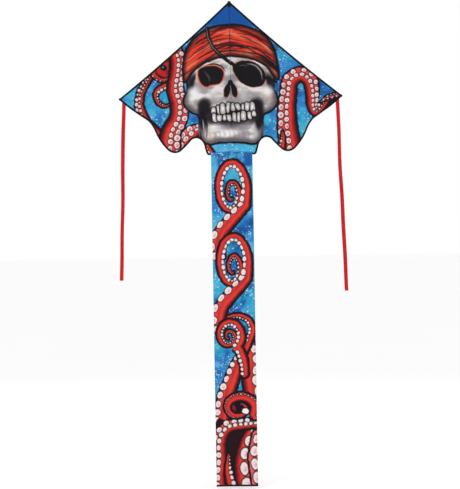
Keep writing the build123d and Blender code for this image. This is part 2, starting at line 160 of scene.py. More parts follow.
def billow(u, v):
    """How far the cloth stands forward of its flat plane.

    It is pressed back over and under the spreader, and its free edge ripples.
    """
    top, low = leading_v(u), trailing_v(u)
    to_tip = (HALF_SPAN - u) / HALF_SPAN
    over = np.clip((v + SPREADER_DROP) / np.maximum(top + SPREADER_DROP, 1), 0, 1)
    under = np.clip((-SPREADER_DROP - v) / np.maximum(-SPREADER_DROP - low, 1), 0, 1)
    across = np.sin(math.pi * np.clip(u / 560, 0, 1)) ** 0.8
    back = -3.0 * smooth(0, 60, u) * smooth(0, 0.06, to_tip)
    upper = -14 * 4 * over * (1 - over) * across * (top > -SPREADER_DROP)
    free = smooth(125, 190, u) * smooth(0, 0.25, to_tip)
    lower = -12 * under ** 1.3 * free - 5 * np.sin(math.pi * under) * across * (1 - free * 0.5)
    ripple = 4.5 * under ** 2 * free * np.sin(u / 27 + 0.7 * np.sin(u / 61))
    slack = 0.9 * np.sin(u / 38 + v / 90) * np.sin(v / 55) * across * (0.3 + over * 0.7)
    # flat against the spar and at the tip, where it is bound down
    at_spar = smooth(12, 62, top - v) * smooth(542, 480, u)
    return (back + upper + lower + ripple + slack) * at_spar


def wing(side, u, v, n):
    """Row-frame points in metres for spans u, drops v and heights n off the wing's face, all mm."""
    u, v, n = np.broadcast_arrays(np.asarray(u, float), v, n)
    return np.stack([side * (u * C + n * S), SEAM_Y + u * S - n * C, NOSE_Z + v], -1) * MM


def face_normal(side):
    """Out of a wing's front face."""
    return np.array([side * S, -C, 0.0])


def on_sail(side, u, v, n):
    """The same, measured from the cloth as it hangs."""
    return wing(side, u, v, billow(np.asarray(u, float), np.asarray(v, float)) + n)


def tail_y(x, drop):
    """How far behind the seam the tail's face is: folded like the flap at its top, flat and wavy below."""
    folded = -3.6 + 0.430 * (np.sqrt(x * x + 25) - 5) + 0.4
    opened = smooth(TAIL_TOP, TAIL_FLAT + 40, drop)
    run = (drop - TAIL_TOP) / (TAIL_DROP - TAIL_TOP)
    wave = 4.5 * np.sin(run * 15 + x / 160) + 2.2 * np.sin(run * 31 + 1.3 - x / 60)
    wave = (wave + 1.6 * np.sin(x / 33 + run * 9)) * smooth(TAIL_TOP + 60, TAIL_FLAT + 100, drop)
    return folded * (1 - opened) + (TAIL_BACK - 0.4) * opened + wave


def tail_point(x, drop, n=0.0):
    x, drop, n = np.broadcast_arrays(np.asarray(x, float), drop, n)
    return np.stack([x, SEAM_Y + tail_y(x, drop) - n, NOSE_Z - drop], -1) * MM


# ------------------------------------------------------------------ meshes
def new_object(name, data):
    ob = bpy.data.objects.new(name, data)
    bpy.context.scene.collection.objects.link(ob)
    return ob


def mesh(name, points, faces):
    """A smooth-shaded object from points in metres."""
    me = bpy.data.meshes.new(name)
    me.from_pydata([tuple(p) for p in np.asarray(points).reshape(-1, 3)], [], faces)
    me.validate()
    me.update()
    me.polygons.foreach_set("use_smooth", [True] * len(me.polygons))
    return new_object(name, me)


def grid_faces(rows, cols, flip=False, wrap=False):
    r, c = np.meshgrid(np.arange(rows - 1), np.arange(cols if wrap else cols - 1), indexing="ij")
    a = (r * cols + c).ravel()
    b = (r * cols + (c + 1) % cols).ravel()
    d, e = b + cols, a + cols
    quads = np.stack([a, e, d, b] if flip else [a, b, d, e], 1)
    return [tuple(int(i) for i in q) for q in quads]


def sheet_mesh(name, points, flip=False, paint=None):
    """A sheet over a grid of points. With a print, each square is split the way that the print runs."""
    faces = grid_faces(*points.shape[:2], flip)
    if paint is None:
        return mesh(name, points, faces)
    tone = paint.c @ np.array([1.0, 0.9, 0.8])
    a, b, c, d = np.array(faces).T
    across = np.abs(tone[a] - tone[c]) <= np.abs(tone[b] - tone[d])
    first = np.where(across[:, None], np.stack([a, b, c], 1), np.stack([a, b, d], 1))
    other = np.where(across[:, None], np.stack([a, c, d], 1), np.stack([b, c, d], 1))
    ob = mesh(name, points, [tuple(t) for t in np.concatenate([first, other]).tolist()])
    add_colours(ob, paint)
    return ob


def band(name, rings):
    """A closed solid through rings of points, one ring per step, with flat ends."""
    steps, around = rings.shape[:2]
    faces = grid_faces(steps, around, wrap=True)
    faces.append(tuple(range(around - 1, -1, -1)))
    faces.append(tuple((steps - 1) * around + i for i in range(around)))
    ob = mesh(name, rings, faces)
    fix_normals(ob)
    return ob


def fix_normals(ob):
    bm = bmesh.new()
    bm.from_mesh(ob.data)
    bmesh.ops.recalc_face_normals(bm, faces=bm.faces)
    bm.to_mesh(ob.data)
    bm.free()


def tape(name, centre, across, out, width, thick):
    """A flat tape with rounded edges along centre; across and out are unit vectors, centre is in metres."""
    w, t, r = width / 2 * MM, thick / 2 * MM, 0.3 * thick * MM
    shape = [
        (-w, -t + r), (-w, t - r), (-w + r, t), (w - r, t), (w, t - r), (w, -t + r), (w - r, -t), (-w + r, -t)
    ]
    return band(name, np.stack([centre + a * across + b * out for a, b in shape], 1))


def slab(name, front, back):
    """A closed solid between two grids of points."""
    rows, cols = front.shape[:2]
    half = rows * cols
    faces = grid_faces(rows, cols)
    faces += [tuple(i + half for i in reversed(q)) for q in faces]
    ring = list(range(cols)) + [r * cols + cols - 1 for r in range(1, rows)]
    ring += [(rows - 1) * cols + i for i in range(cols - 2, -1, -1)]
    ring += [r * cols for r in range(rows - 2, 0, -1)]
    faces += [(j, i, i + half, j + half) for i, j in zip(ring, ring[1:] + ring[:1])]
    ob = mesh(name, np.stack([front, back]), faces)
    fix_normals(ob)
    return ob


def tube(name, centre, side_a, side_b, radius, around):
    t = np.linspace(0, 2 * math.pi, around, endpoint=False)
    r = np.broadcast_to(np.asarray(radius, float) * MM, (len(centre),))
    rings = centre[:, None] + r[:, None, None] * (
        np.cos(t)[None, :, None] * side_a[:, None] + np.sin(t)[None, :, None] * side_b[:, None]
    )
    return band(name, rings)


def stitches(name, line, out, length=2.6, pitch=4.2, radius=0.28):
    """Short threads raised in direction out along a line of points in metres."""
    out = np.broadcast_to(np.asarray(out, float), line.shape)
    seg = np.linalg.norm(np.diff(line, axis=0), axis=1) / MM
    s = np.concatenate([[0], np.cumsum(seg)])
    starts = np.arange(pitch / 2, s[-1] - pitch / 2, pitch)
    at = lambda values, q: np.stack([np.interp(q, s, values[:, k]) for k in range(3)], 1)
    a, m, b = at(line, starts), at(line, starts + length / 2), at(line, starts + length)
    n, r = unit(at(out, starts + length / 2)), radius * MM
    side = unit(np.cross(b - a, n))
    verts = np.stack([a - n * r, m + side * r, m + n * r, m - side * r, m - n * r, b - n * r], 1)
    sides = ((0, 1, 2), (0, 2, 3), (0, 3, 4), (0, 4, 1), (5, 2, 1), (5, 3, 2), (5, 4, 3), (5, 1, 4))
    return mesh(name, verts, [tuple(6 * k + i for i in f) for k in range(len(starts)) for f in sides])


# ------------------------------------------------------------------ the print, in mm, Z up from the nose
def noise(x, y, seed=0):
    """Smooth value noise from 0 to 1, the same each run."""
    xi, yi = np.floor(x).astype(np.int64), np.floor(y).astype(np.int64)
    xf, yf = x - xi, y - yi
    u, v = xf * xf * (3 - 2 * xf), yf * yf * (3 - 2 * yf)

    def corner(i, j):
        h = (i * 374761393 + j * 668265263 + seed * 362437) & 0xFFFFFFFF
        h = ((h ^ (h >> 13)) * 1274126177) & 0xFFFFFFFF
        return ((h ^ (h >> 16)) & 0xFFFF) / 65535

    low = corner(xi, yi) * (1 - u) + corner(xi + 1, yi) * u
    high = corner(xi, yi + 1) * (1 - u) + corner(xi + 1, yi + 1) * u
    return low * (1 - v) + high * v


def cloud(x, y, seed=0, octaves=4):
    total = sum(noise(x * 2**k, y * 2**k, seed + 7 * k) / 2**k for k in range(octaves))
    return total / (2 - 2.0 ** (1 - octaves))


def rgb(r, g, b):
    return np.array([r, g, b], float) / 255


def linear(c):
    """Screen colours from 0 to 1 as light."""
    return np.where(c <= 0.04045, c / 12.92, ((c + 0.055) / 1.055) ** 2.4)


def toward(base, colour, share):
    """Colours moved a share of the way from base to colour, point by point."""
    return base + (colour - base) * share[:, None]


INK = rgb(14, 10, 16)
RED = rgb(200, 38, 36)
BRIGHT = rgb(224, 70, 54)
MAROON = rgb(96, 12, 24)
PALE = rgb(250, 232, 230)
BONE = rgb(196, 192, 190)
# how wide the dark line round an arm is, and how many points a turn of a spiral has
OUTLINE, TURN_POINTS = 9.0, 11


def curve(points, closed=False, per=10):
    """A smooth line through a few points."""
    p = np.asarray(points, float)
    before, after = (p[-1:], p[:2]) if closed else (2 * p[:1] - p[1:2], 2 * p[-1:] - p[-2:-1])
    p = np.concatenate([before, p, after])
    t = np.linspace(0, 1, per, endpoint=False)[:, None]
    runs = []
    for a, b, c, d in zip(p, p[1:], p[2:], p[3:]):
        runs.append(
            0.5 * (2 * b + (c - a) * t + (2 * a - 5 * b + 4 * c - d) * t**2 + (3 * b - a - 3 * c + d) * t**3)
        )
    if not closed:
        runs.append(p[-2:-1])
    return np.concatenate(runs)


class Print:
    """Colours painted on a set of cloth points, and how much of the plain ground still shows."""

    def __init__(self, x, z):
        self.shape = x.shape
        wob = lambda s: (cloud(x / 14, z / 14, s, 2) - 0.5) * 4
        self.x, self.z = (x + wob(11)).ravel(), (z + wob(23)).ravel()
        self.c = np.zeros((self.x.size, 3))
        self.ground = np.ones(self.x.size)

    def near(self, points, reach):
        """Which cloth points lie in the box round some points, widened by reach."""
        p = np.atleast_2d(points)
        (low_x, low_z), (high_x, high_z) = p.min(0) - reach, p.max(0) + reach
        return np.flatnonzero((self.x > low_x) & (self.x < high_x) & (self.z > low_z) & (self.z < high_z))

    def over(self, i, mask, colour):
        mask = np.clip(mask, 0, 1)[:, None]
        self.c[i] = self.c[i] * (1 - mask) + colour * mask
        self.ground[i] *= 1 - mask[:, 0]

    def shape_at(self, points):
        """(which points are near a closed outline, their distance to it, negative inside)"""
        a = np.asarray(points, float)
        i = self.near(a, 14)
        x, z = self.x[i][:, None], self.z[i][:, None]
        b = np.roll(a, -1, 0)
        ab = b - a
        dx, dz = x - a[:, 0], z - a[:, 1]
        t = np.clip((dx * ab[:, 0] + dz * ab[:, 1]) / np.maximum((ab**2).sum(1), 1e-9), 0, 1)
        d = np.hypot(dx - t * ab[:, 0], dz - t * ab[:, 1]).min(1)
        rise = np.where(np.abs(ab[:, 1]) < 1e-9, 1e-9, ab[:, 1])
        cross = ((a[:, 1] > z) != (b[:, 1] > z)) & (x < a[:, 0] + dz * ab[:, 0] / rise)
        return i, np.where(cross.sum(1) % 2 == 1, -d, d)

    def fill(self, points, colour, soft=3.4, grow=0.0):
        i, d = self.shape_at(points)
        self.over(i, 0.5 - (d - grow) / soft, colour)
        return i, d

    def blob(self, x, z, rx, rz, colour, turn=0.0, soft=0.15, strength=1.0):
        """An oval: hard-edged when soft is small, faded from its middle when it is large."""
        i = self.near((x, z), max(rx, rz) * (1 + soft) + 2)
        ct, st = math.cos(math.radians(turn)), math.sin(math.radians(turn))
        dx, dz = self.x[i] - x, self.z[i] - z
        q = np.hypot((dx * ct + dz * st) / rx, (dz * ct - dx * st) / rz)
        soft = max(soft, 2.8 / min(rx, rz))
        mask = 0.5 - (q - 1) / soft if soft < 0.5 else smooth(1, 1 - soft, q)
        self.over(i, mask * strength, colour)

    def along(self, line, reach):
        """For points near a line: (which, distance with its side's sign, how far along, total length)"""
        seg = np.hypot(*np.diff(line, axis=0).T)
        s = run_along(line)
        i = self.near(line, reach)
        best = np.full(len(i), 1e9)
        side, where = np.zeros(len(i)), np.zeros(len(i))
        x, z = self.x[i], self.z[i]
        for k in range(len(line) - 1):
            a, ab = line[k], line[k + 1] - line[k]
            t = np.clip(((x - a[0]) * ab[0] + (z - a[1]) * ab[1]) / max(seg[k] ** 2, 1e-9), 0, 1)
            dx, dz = x - a[0] - t * ab[0], z - a[1] - t * ab[1]
            d = np.hypot(dx, dz)
            m = d < best
            best[m] = d[m]
            side[m] = np.sign(ab[0] * dz - ab[1] * dx)[m]
            where[m] = (s[k] + t * seg[k])[m]
        return i, best * np.where(side == 0, 1, side), where, s[-1]

    def stroke(self, points, width, colour, taper=0.0, strength=1.0):
        """A brush stroke; taper 1 thins it to nothing at both ends."""
        i, d, s, total = self.along(curve(points, per=8), width + 4)
        w = width / 2 * (1 - taper * (2 * s / total - 1) ** 2)
        self.over(i, (0.5 - (np.abs(d) - w) / 2.9) * strength, colour)

    def arm(
        self, points, widths, cups=1, cup=0.30, seed=0, rows=1, pale=0.0, start=0.0, second=0.0, long=1.22,
        edge=0.56, white=False
    ):
        """A tentacle: red along its back, darker on the far side, with suckers on side `cups` of its line.

        widths are half widths, evenly spaced along it. cup and long size a sucker, and edge is how far out
        its row lies. start and second shift the rows along, pale lightens the suckers' side, and white
        their hollows.
        """
        line = curve(points, per=9)
        i, d, s, total = self.along(line, max(widths) + OUTLINE + 4)
        w = spread(widths, s / total) + (noise(s / 11, d * 0 + seed, seed) - 0.5) * 2.5
        t = d / w * cups
        self.over(i, 0.5 - (np.abs(d) - w - OUTLINE * 0.55) / 3.2, INK)
        body = RED * (0.86 + 0.30 * cloud(s / 55, t * 2.4 + seed, seed + 3, 3)[:, None])
        body = toward(body, BRIGHT, smooth(0.35, 0.0, np.abs(t + 0.25)) * 0.65)
        body = toward(body, MAROON, smooth(0.35, 0.85, -t) * 0.9)
        body = toward(body, INK, smooth(0.62, 1.0, -t) * 0.8)
        body = toward(body, rgb(226, 92, 98), smooth(0.05, 0.6, t) * (0.55 + pale))
        self.over(i, 0.5 - (np.abs(d) - w + OUTLINE * 0.45) / 3.2, np.clip(body, 0, 1))
        # the suckers, in one or two rows
        run = run_along(line)
        rim, disc = (INK, PALE * 0.95) if white else (MAROON * 0.45, PALE * 0.93)
        hollow, depth = (rgb(214, 150, 158), 0.35) if white else (rgb(206, 104, 118), 0.85)
        for row in range(rows):
            q, k = start + row * (second + 0.5 * max(widths) * cup), 0
            while q < total - 4:
                half = spread(widths, q / total)
                j = max(1, min(int(np.searchsorted(run, q)), len(line) - 1))
                tx, tz = line[j] - line[j - 1]
                norm = math.hypot(tx, tz) or 1
                away = cups * half * (edge if rows == 1 else edge + 0.10 - 0.62 * row)
                cx = np.interp(q, run, line[:, 0]) - tz / norm * away
                cz = np.interp(q, run, line[:, 1]) + tx / norm * away
                r = max(half * cup * (1 - 0.18 * row), 2.4)
                lean = math.degrees(math.atan2(tz, tx)) + 90
                jig = 1 + 0.16 * math.sin(k * 2.3 + seed)
                self.blob(cx, cz, r * 0.98 * jig + 2.2, r * long + 2.4, rim, lean, 0.18)
                self.blob(cx, cz, r * 0.92 * jig, r * long * 0.92, disc, lean, 0.20)
                if r > 4:
                    self.blob(cx + r * 0.1, cz - r * 0.1, r * 0.50, r * long * 0.5, hollow, lean, 0.35, depth)
                    self.blob(cx - r * 0.06, cz + r * 0.06, r * 0.26, r * long * 0.28, PALE, lean, 0.5, 0.8)
                q += r * long * 2.05 + 3.5
                k += 1

    def water(self, seed=0, plain_above=None):
        """Blue watercolour ground with darker pools and a little teal."""
        x, z = self.x, self.z
        pools = cloud(x / 42, z / 42, seed + 2)
        deep, mid, light, teal = rgb(16, 82, 156), rgb(34, 122, 190), rgb(96, 178, 218), rgb(44, 166, 196)
        c = toward(deep, mid, smooth(0.30, 0.50, cloud(x / 130 + 3, z / 130 + 9, seed + 1)))
        c = toward(c, light, smooth(0.46, 0.78, pools) * 0.85)
        c = toward(c, teal, smooth(0.52, 0.66, cloud(x / 80 + 7, z / 80 + 2, seed + 5)) * 0.6)
        c = toward(c, deep * 0.85, smooth(0.42, 0.26, pools) * 0.6)
        if plain_above is not None:
            plain = smooth(plain_above - 25, plain_above + 25, z)
            c = toward(c, rgb(13, 77, 150), plain)
            self.ground = self.ground * (1 - plain)
        self.c = c

    def spray(self, seed, share=0.36):
        """White drops flicked over the bare ground, thicker in some places."""
        spacing = 8.5
        gx, gz = np.floor(self.x / spacing), np.floor(self.z / spacing)
        dense = smooth(0.40, 0.66, cloud(self.x / 48, self.z / 48, seed + 9))
        for i in (-1, 0, 1):
            for j in (-1, 0, 1):
                cx, cz = gx + i, gz + j
                dx = self.x - (cx + 0.15 + 0.7 * noise(cx, cz, seed)) * spacing
                dz = self.z - (cz + 0.15 + 0.7 * noise(cx, cz, seed + 1)) * spacing
                size = 1.1 + 2.7 * noise(cx, cz, seed + 2) ** 2.5
                there = noise(cx, cz, seed + 3) < share * (0.15 + 1.5 * dense)
                m = np.clip(0.5 - (np.hypot(dx, dz) - size) / 1.8, 0, 1) * there * self.ground * 0.85
                self.c = self.c * (1 - m[:, None]) + rgb(206, 232, 244) * m[:, None]

    def colours(self):
        """Linear colours with the share of bare ground in the fourth channel."""
        return np.concatenate([linear(np.clip(self.c, 0, 1) * 0.97), self.ground[:, None]], 1)


def mirrored(points):
    """Both halves of an outline that is given on its right side, from its top to its foot."""
    p = np.asarray(points, float)
    return np.concatenate([p, p[::-1] * [-1, 1]])


def paint_skull(p):
    """A plain skull in a headscarf, its shapes laid out one by one."""
    dark, grey, white = rgb(20, 16, 24), rgb(96, 90, 98), rgb(236, 232, 230)
    head = curve(mirrored([
        (60, -232), (140, -250), (192, -296), (204, -350), (196, -405), (212, -440), (214, -478),
        (184, -512), (150, -534), (146, -600), (138, -642), (104, -668), (52, -662),
    ]), closed=True)
    p.fill(head, INK, grow=8)
    i, d = p.fill(head, BONE, grow=-3)
    x, z = p.x[i], p.z[i]
    brushed = cloud(x / 60, z / 26, 41, 4)
    shade = toward(BONE, rgb(146, 138, 142), smooth(0.56, 0.36, brushed) * 0.8)
    shade = toward(shade, white, smooth(0.48, 0.66, brushed) * 0.8)
    shade = toward(shade, rgb(224, 186, 168), smooth(0.56, 0.72, cloud(x / 50 + 5, z / 50, 47)) * 0.5)
    shade = toward(shade, rgb(70, 62, 72), smooth(-34, -2, d) * 0.85)
    p.over(i, 0.5 - (d + 3) / 2.5, shade)
    for k in (-1, 1):
        # temple, cheekbone, hollow below it and the jaw's side
        p.blob(k * 184, -372, 26, 62, dark, k * 8, 0.9, 1.0)
        p.blob(k * 172, -352, 14, 44, INK, k * 12, 0.9, 0.8)
        p.blob(k * 170, -420, 46, 40, white, k * 14, 0.9, 0.95)
        p.blob(k * 122, -484, 42, 46, INK, k * 14, 0.65, 0.9)
        p.blob(k * 118, -520, 44, 76, dark, k * -22, 0.62, 1.0)
        p.blob(k * 132, -556, 26, 72, INK, k * -10, 0.6, 0.95)
        p.blob(k * 112, -606, 17, 54, rgb(168, 160, 166), k * 4, 0.8, 0.6)
        p.blob(k * 150, -604, 8, 50, grey, 0, 0.8, 0.9)
        p.blob(k * 60, -442, 34, 40, rgb(206, 200, 198), k * -18, 0.9, 0.7)
        p.blob(k * 62, -292, 60, 13, white, k * -12, 0.8, 0.7)
    p.blob(112, -500, 38, 46, INK, 16, 0.6, 0.95)
    p.blob(-96, -536, 20, 50, INK, 14, 0.7, 0.9)
    p.stroke([(-134, -548), (-128, -590), (-124, -632)], 8, rgb(150, 146, 156), 0.9, 0.8)
    p.blob(0, -596, 100, 16, rgb(120, 112, 118), 0, 0.9, 0.7)
    p.blob(-20, -622, 92, 24, white, 3, 0.9, 0.95)
    p.blob(40, -628, 60, 17, rgb(150, 144, 150), 24, 0.9, 0.7)
    p.blob(0, -652, 96, 13, grey, 0, 0.8, 0.8)
    for k in range(14):
        x0 = -104 + 15 * k + 5 * math.sin(2.1 * k)
        p.stroke(
            [(x0, -606 - 4 * math.sin(k)), (x0 + 7, -626), (x0 + 3, -645)], 2.6, rgb(110, 102, 110), 0.9, 0.55
        )
    # open socket and covered socket
    socket = curve(
        [
            (-150, -318), (-118, -300), (-70, -302), (-38, -322), (-34, -352), (-52, -384), (-92, -390),
            (-112, -396), (-142, -372)
        ],
        closed=True
    )
    p.fill(socket, rgb(226, 92, 58), soft=7, grow=5)
    p.fill(socket, INK, soft=4)
    p.stroke([(-128, -318), (-104, -346), (-96, -378)], 11, rgb(60, 56, 66), 0.8, 0.6)
    p.stroke([(-150, -308), (-100, -290), (-48, -300), (-22, -330)], 7, INK, 0.7)
    patch = curve(
        [
            (16, -306), (56, -280), (118, -286), (158, -322), (166, -362), (142, -394), (96, -400),
            (54, -382), (24, -346)
        ],
        closed=True
    )
    p.fill(patch, rgb(214, 120, 88), soft=5, grow=3)
    p.fill(patch, INK, soft=3, grow=1)
    p.stroke([(72, -292), (118, -298), (146, -330), (150, -368)], 9, rgb(132, 128, 138), 0.9, 0.85)
    p.stroke([(30, -312), (58, -300), (88, -304)], 5, rgb(92, 88, 98), 0.8, 0.7)
    p.stroke([(160, -352), (190, -364), (214, -374)], 13, INK)
    # nose and mouth
    for k in (-1, 1):
        p.blob(k * 17, -422, 17, 33, rgb(206, 120, 92), k * 14, 0.35, 0.8)
        p.blob(k * 16, -420, 14, 33, INK, k * 14, 0.15)
    p.blob(0, -392, 13, 22, INK, 0, 0.2)
    p.stroke([(0, -398), (3, -420), (1, -440)], 4.5, rgb(186, 178, 180), 0.4, 0.8)
    p.blob(6, -536, 112, 52, rgb(66, 58, 66), 2, 0.4, 0.95)
    p.blob(8, -538, 104, 30, INK, 2, 0.3)
    for row, (drop, tall) in enumerate(((-499, 21), (-549, 19))):
        for k in range(-4, 5):
            odd = lambda f: math.sin(f * k + 2.7 * row)
            x = 10 + k * 23 + (5 if row else 0) + 2.5 * odd(4.1)
            z = drop + 0.09 * x + (abs(k) ** 1.4) * (-0.8 if row == 0 else 1.4) + 5 * odd(3.1)
            h, w, lean = tall * (0.84 + 0.24 * odd(5.3)), 9.4 + 2.0 * odd(2.3), 3.5 * odd(1.7)
            root, bite = (1.0, 0.72) if k % 2 else (0.78, 1.0)
            tooth = curve(
                [
                    (x - w * root, z + h), (x + w * root, z + h * 0.9), (x + w * bite + lean, z - h),
                    (x - w * bite + lean, z - h * 0.86)
                ],
                closed=True, per=5
            )
            p.fill(tooth, INK, grow=4.4)
            p.fill(tooth, rgb(188, 180, 178), grow=-0.4)
            p.blob(x - 1 + lean * 0.4, z, w * 0.8, h * 0.86, rgb(244, 241, 238), 4 * odd(2.0), 0.8, 0.95)
    p.stroke([(-150, -520), (-124, -536), (-112, -588), (-118, -640)], 5, INK, 0.7, 0.9)
    # headscarf
    scarf = curve([
        (0, -112), (74, -117), (146, -148), (196, -204), (222, -276), (226, -356), (206, -344), (176, -300),
        (120, -270), (60, -258), (0, -256), (-64, -262), (-126, -282), (-176, -318), (-214, -368),
        (-222, -300),
        (-206, -226), (-156, -160), (-84, -120),
    ], closed=True)
    p.fill(scarf, INK, grow=7)
    i, d = p.shape_at(scarf)
    x, z = p.x[i], p.z[i]
    # folds run round the head, so tones are streaked along arcs
    bow = z + (x / 230.0) ** 2 * 105
    streak = cloud(x / 120 + 2, bow / 9, 61, 3)
    tone = rgb(214, 58, 38) * (0.82 + 0.34 * streak)[:, None]
    tone = toward(tone, rgb(236, 128, 92), smooth(0.54, 0.74, cloud(x / 90, bow / 14, 67, 3)) * 0.8)
    tone = toward(tone, MAROON * 0.6, smooth(0.46, 0.28, streak) * 0.8)
    tone = toward(tone, INK, smooth(-22, 0, d) * 0.75)
    tone = toward(tone, INK, smooth(60, 190, x) * smooth(-200, -262, z) * smooth(0.62, 0.46, streak) * 0.9)
    p.over(i, 0.5 - (d + 2) / 2.5, np.clip(tone, 0, 1))
    for a, b, e, w in (
        ((-205, -292), (-40, -212), (150, -226), 5), ((-190, -330), (-60, -240), (110, -238), 6),
        ((-60, -232), (70, -206), (196, -250), 6),
        ((20, -226), (120, -214), (212, -286), 5), ((60, -240), (150, -250), (214, -320), 6),
        ((-120, -190), (-30, -176), (70, -186), 4),
        ((30, -150), (110, -160), (176, -206), 4), ((-150, -240), (-90, -206), (-40, -196), 4),
    ):
        p.stroke([a, b, e], w, INK, 0.9, 0.9)
    p.stroke([(-170, -322), (-110, -290), (-40, -272)], 4, rgb(250, 190, 150), 0.8, 0.9)
    # strap of the eye patch
    strap = [(-104, -122), (-98, -168), (-78, -214), (-40, -256), (2, -290), (44, -314)]
    p.stroke(strap, 17, INK)
    p.stroke([(q[0] - 3, q[1] + 3) for q in strap[:4]], 3, rgb(190, 184, 190), 0.7, 0.8)


def paint_sail(x, z):
    p = Print(x, z)
    p.water(3, plain_above=-120)
    flap = smooth(-640, -685, p.z) * smooth(135, 80, np.abs(p.x)) * (
        0.5 + 0.5 * cloud(p.x / 40, p.z / 25, 77)
    )
    p.c = toward(p.c, rgb(74, 184, 218), flap)
    # arms on the left
    p.arm([(-166, -742), (-140, -690), (-150, -640)], [34, 40, 26], 1, 0.34, 31, rows=2, pale=0.5)
    p.arm(
        [(-262, -712), (-222, -650), (-176, -606), (-138, -588)], [46, 46, 38, 18], 1, 0.36, 33, rows=2,
        pale=0.9, second=5
    )
    p.arm(
        [(-300, -668), (-350, -610), (-402, -548), (-428, -468), (-408, -386), (-356, -318), (-300, -286)],
        [34, 28, 24, 21, 18, 15, 12], 1, 0.36, 5, rows=2, pale=0.2
    )
    p.arm(
        [(-262, -238), (-300, -262), (-342, -290), (-352, -328), (-322, -352), (-290, -336), (-298, -314)],
        [26, 24, 20, 17, 13, 8, 4], -1, 0.36, 9
    )
    p.blob(-300, -302, 50, 40, INK, 20, 0.15)
    p.blob(-300, -302, 45, 35, RED * 0.92, 20, 0.3)
    p.blob(-288, -318, 26, 20, MAROON, 20, 0.8, 0.9)
    p.blob(-310, -294, 15, 14, INK, 0, 0.3)
    p.blob(-312, -292, 6, 6, rgb(70, 130, 190), 0, 0.5)
    p.arm(
        [(-268, -372), (-312, -384), (-344, -408), (-344, -452), (-312, -478), (-282, -470)],
        [16, 17, 15, 12, 9, 4], 1, 0.42, 12
    )
    p.arm(
        [
            (-262, -190), (-244, -250), (-250, -320), (-258, -390), (-240, -470), (-246, -540), (-284, -610),
            (-296, -720)
        ],
        [30, 34, 38, 40, 42, 44, 50, 58], 1, 0.28, 17, rows=2, second=2
    )
    # arms on the right: up, over and down, thinning to the tip
    p.stroke([(408, -512), (444, -478), (486, -448), (520, -436), (550, -432)], 40, INK, 0.3)
    p.arm([
        (282, -740), (276, -677), (264, -583), (262, -500), (268, -430), (282, -368), (330, -336),
        (374, -368),
        (382, -440), (386, -492), (406, -512), (430, -482), (452, -452), (486, -436), (530, -428),
    ], [56, 54, 50, 46, 43, 40, 38, 36, 34, 33, 31, 26, 19, 14, 9], 1, 0.30, 21, rows=2, second=4)
    for k in range(9):
        p.blob(424 + 13 * k, -470 + 7 * k - 0.35 * k * k, 8 - 0.4 * k, 6, INK, 30 * k, 0.25)
    for k in range(5):
        p.blob(434 + 20 * k, -456 + 6 * k, 6.5, 5.5, rgb(226, 150, 160), 20 * k, 0.3)
    p.arm([(214, -752), (232, -700), (243, -650), (240, -610)], [24, 22, 14, 6], 1, 0.4, 23, pale=0.4)
    paint_skull(p)
    # painted shade: a dark line down the seam from the nose, standing in for the shade of the seam's crease
    # and of the spine's sleeve seen through the cloth
    p.stroke([(0, 10), (0, -90), (0, -190), (0, -260)], 4.5, rgb(52, 34, 96), 0.0, 0.5)
    # a pale arm end beside the flap
    p.arm([(-86, -740), (-100, -700), (-112, -676)], [15, 16, 10], 1, 0.4, 27, pale=0.6)
    p.spray(71)
    return p


def spiral(cx, cz, rx, rz, turns, start=0.0, shrink=0.16, drift=(0, 0)):
    """Points of a spiral that closes in on its middle, which itself drifts."""
    out, steps = [], TURN_POINTS * turns
    for k in range(int(steps) + 1):
        f = k / steps
        a = start + 2 * math.pi * turns * f
        r = 1 - (1 - shrink) * f
        out.append((cx + drift[0] * f + rx * r * math.cos(a), cz + drift[1] * f + rz * r * math.sin(a)))
    return out


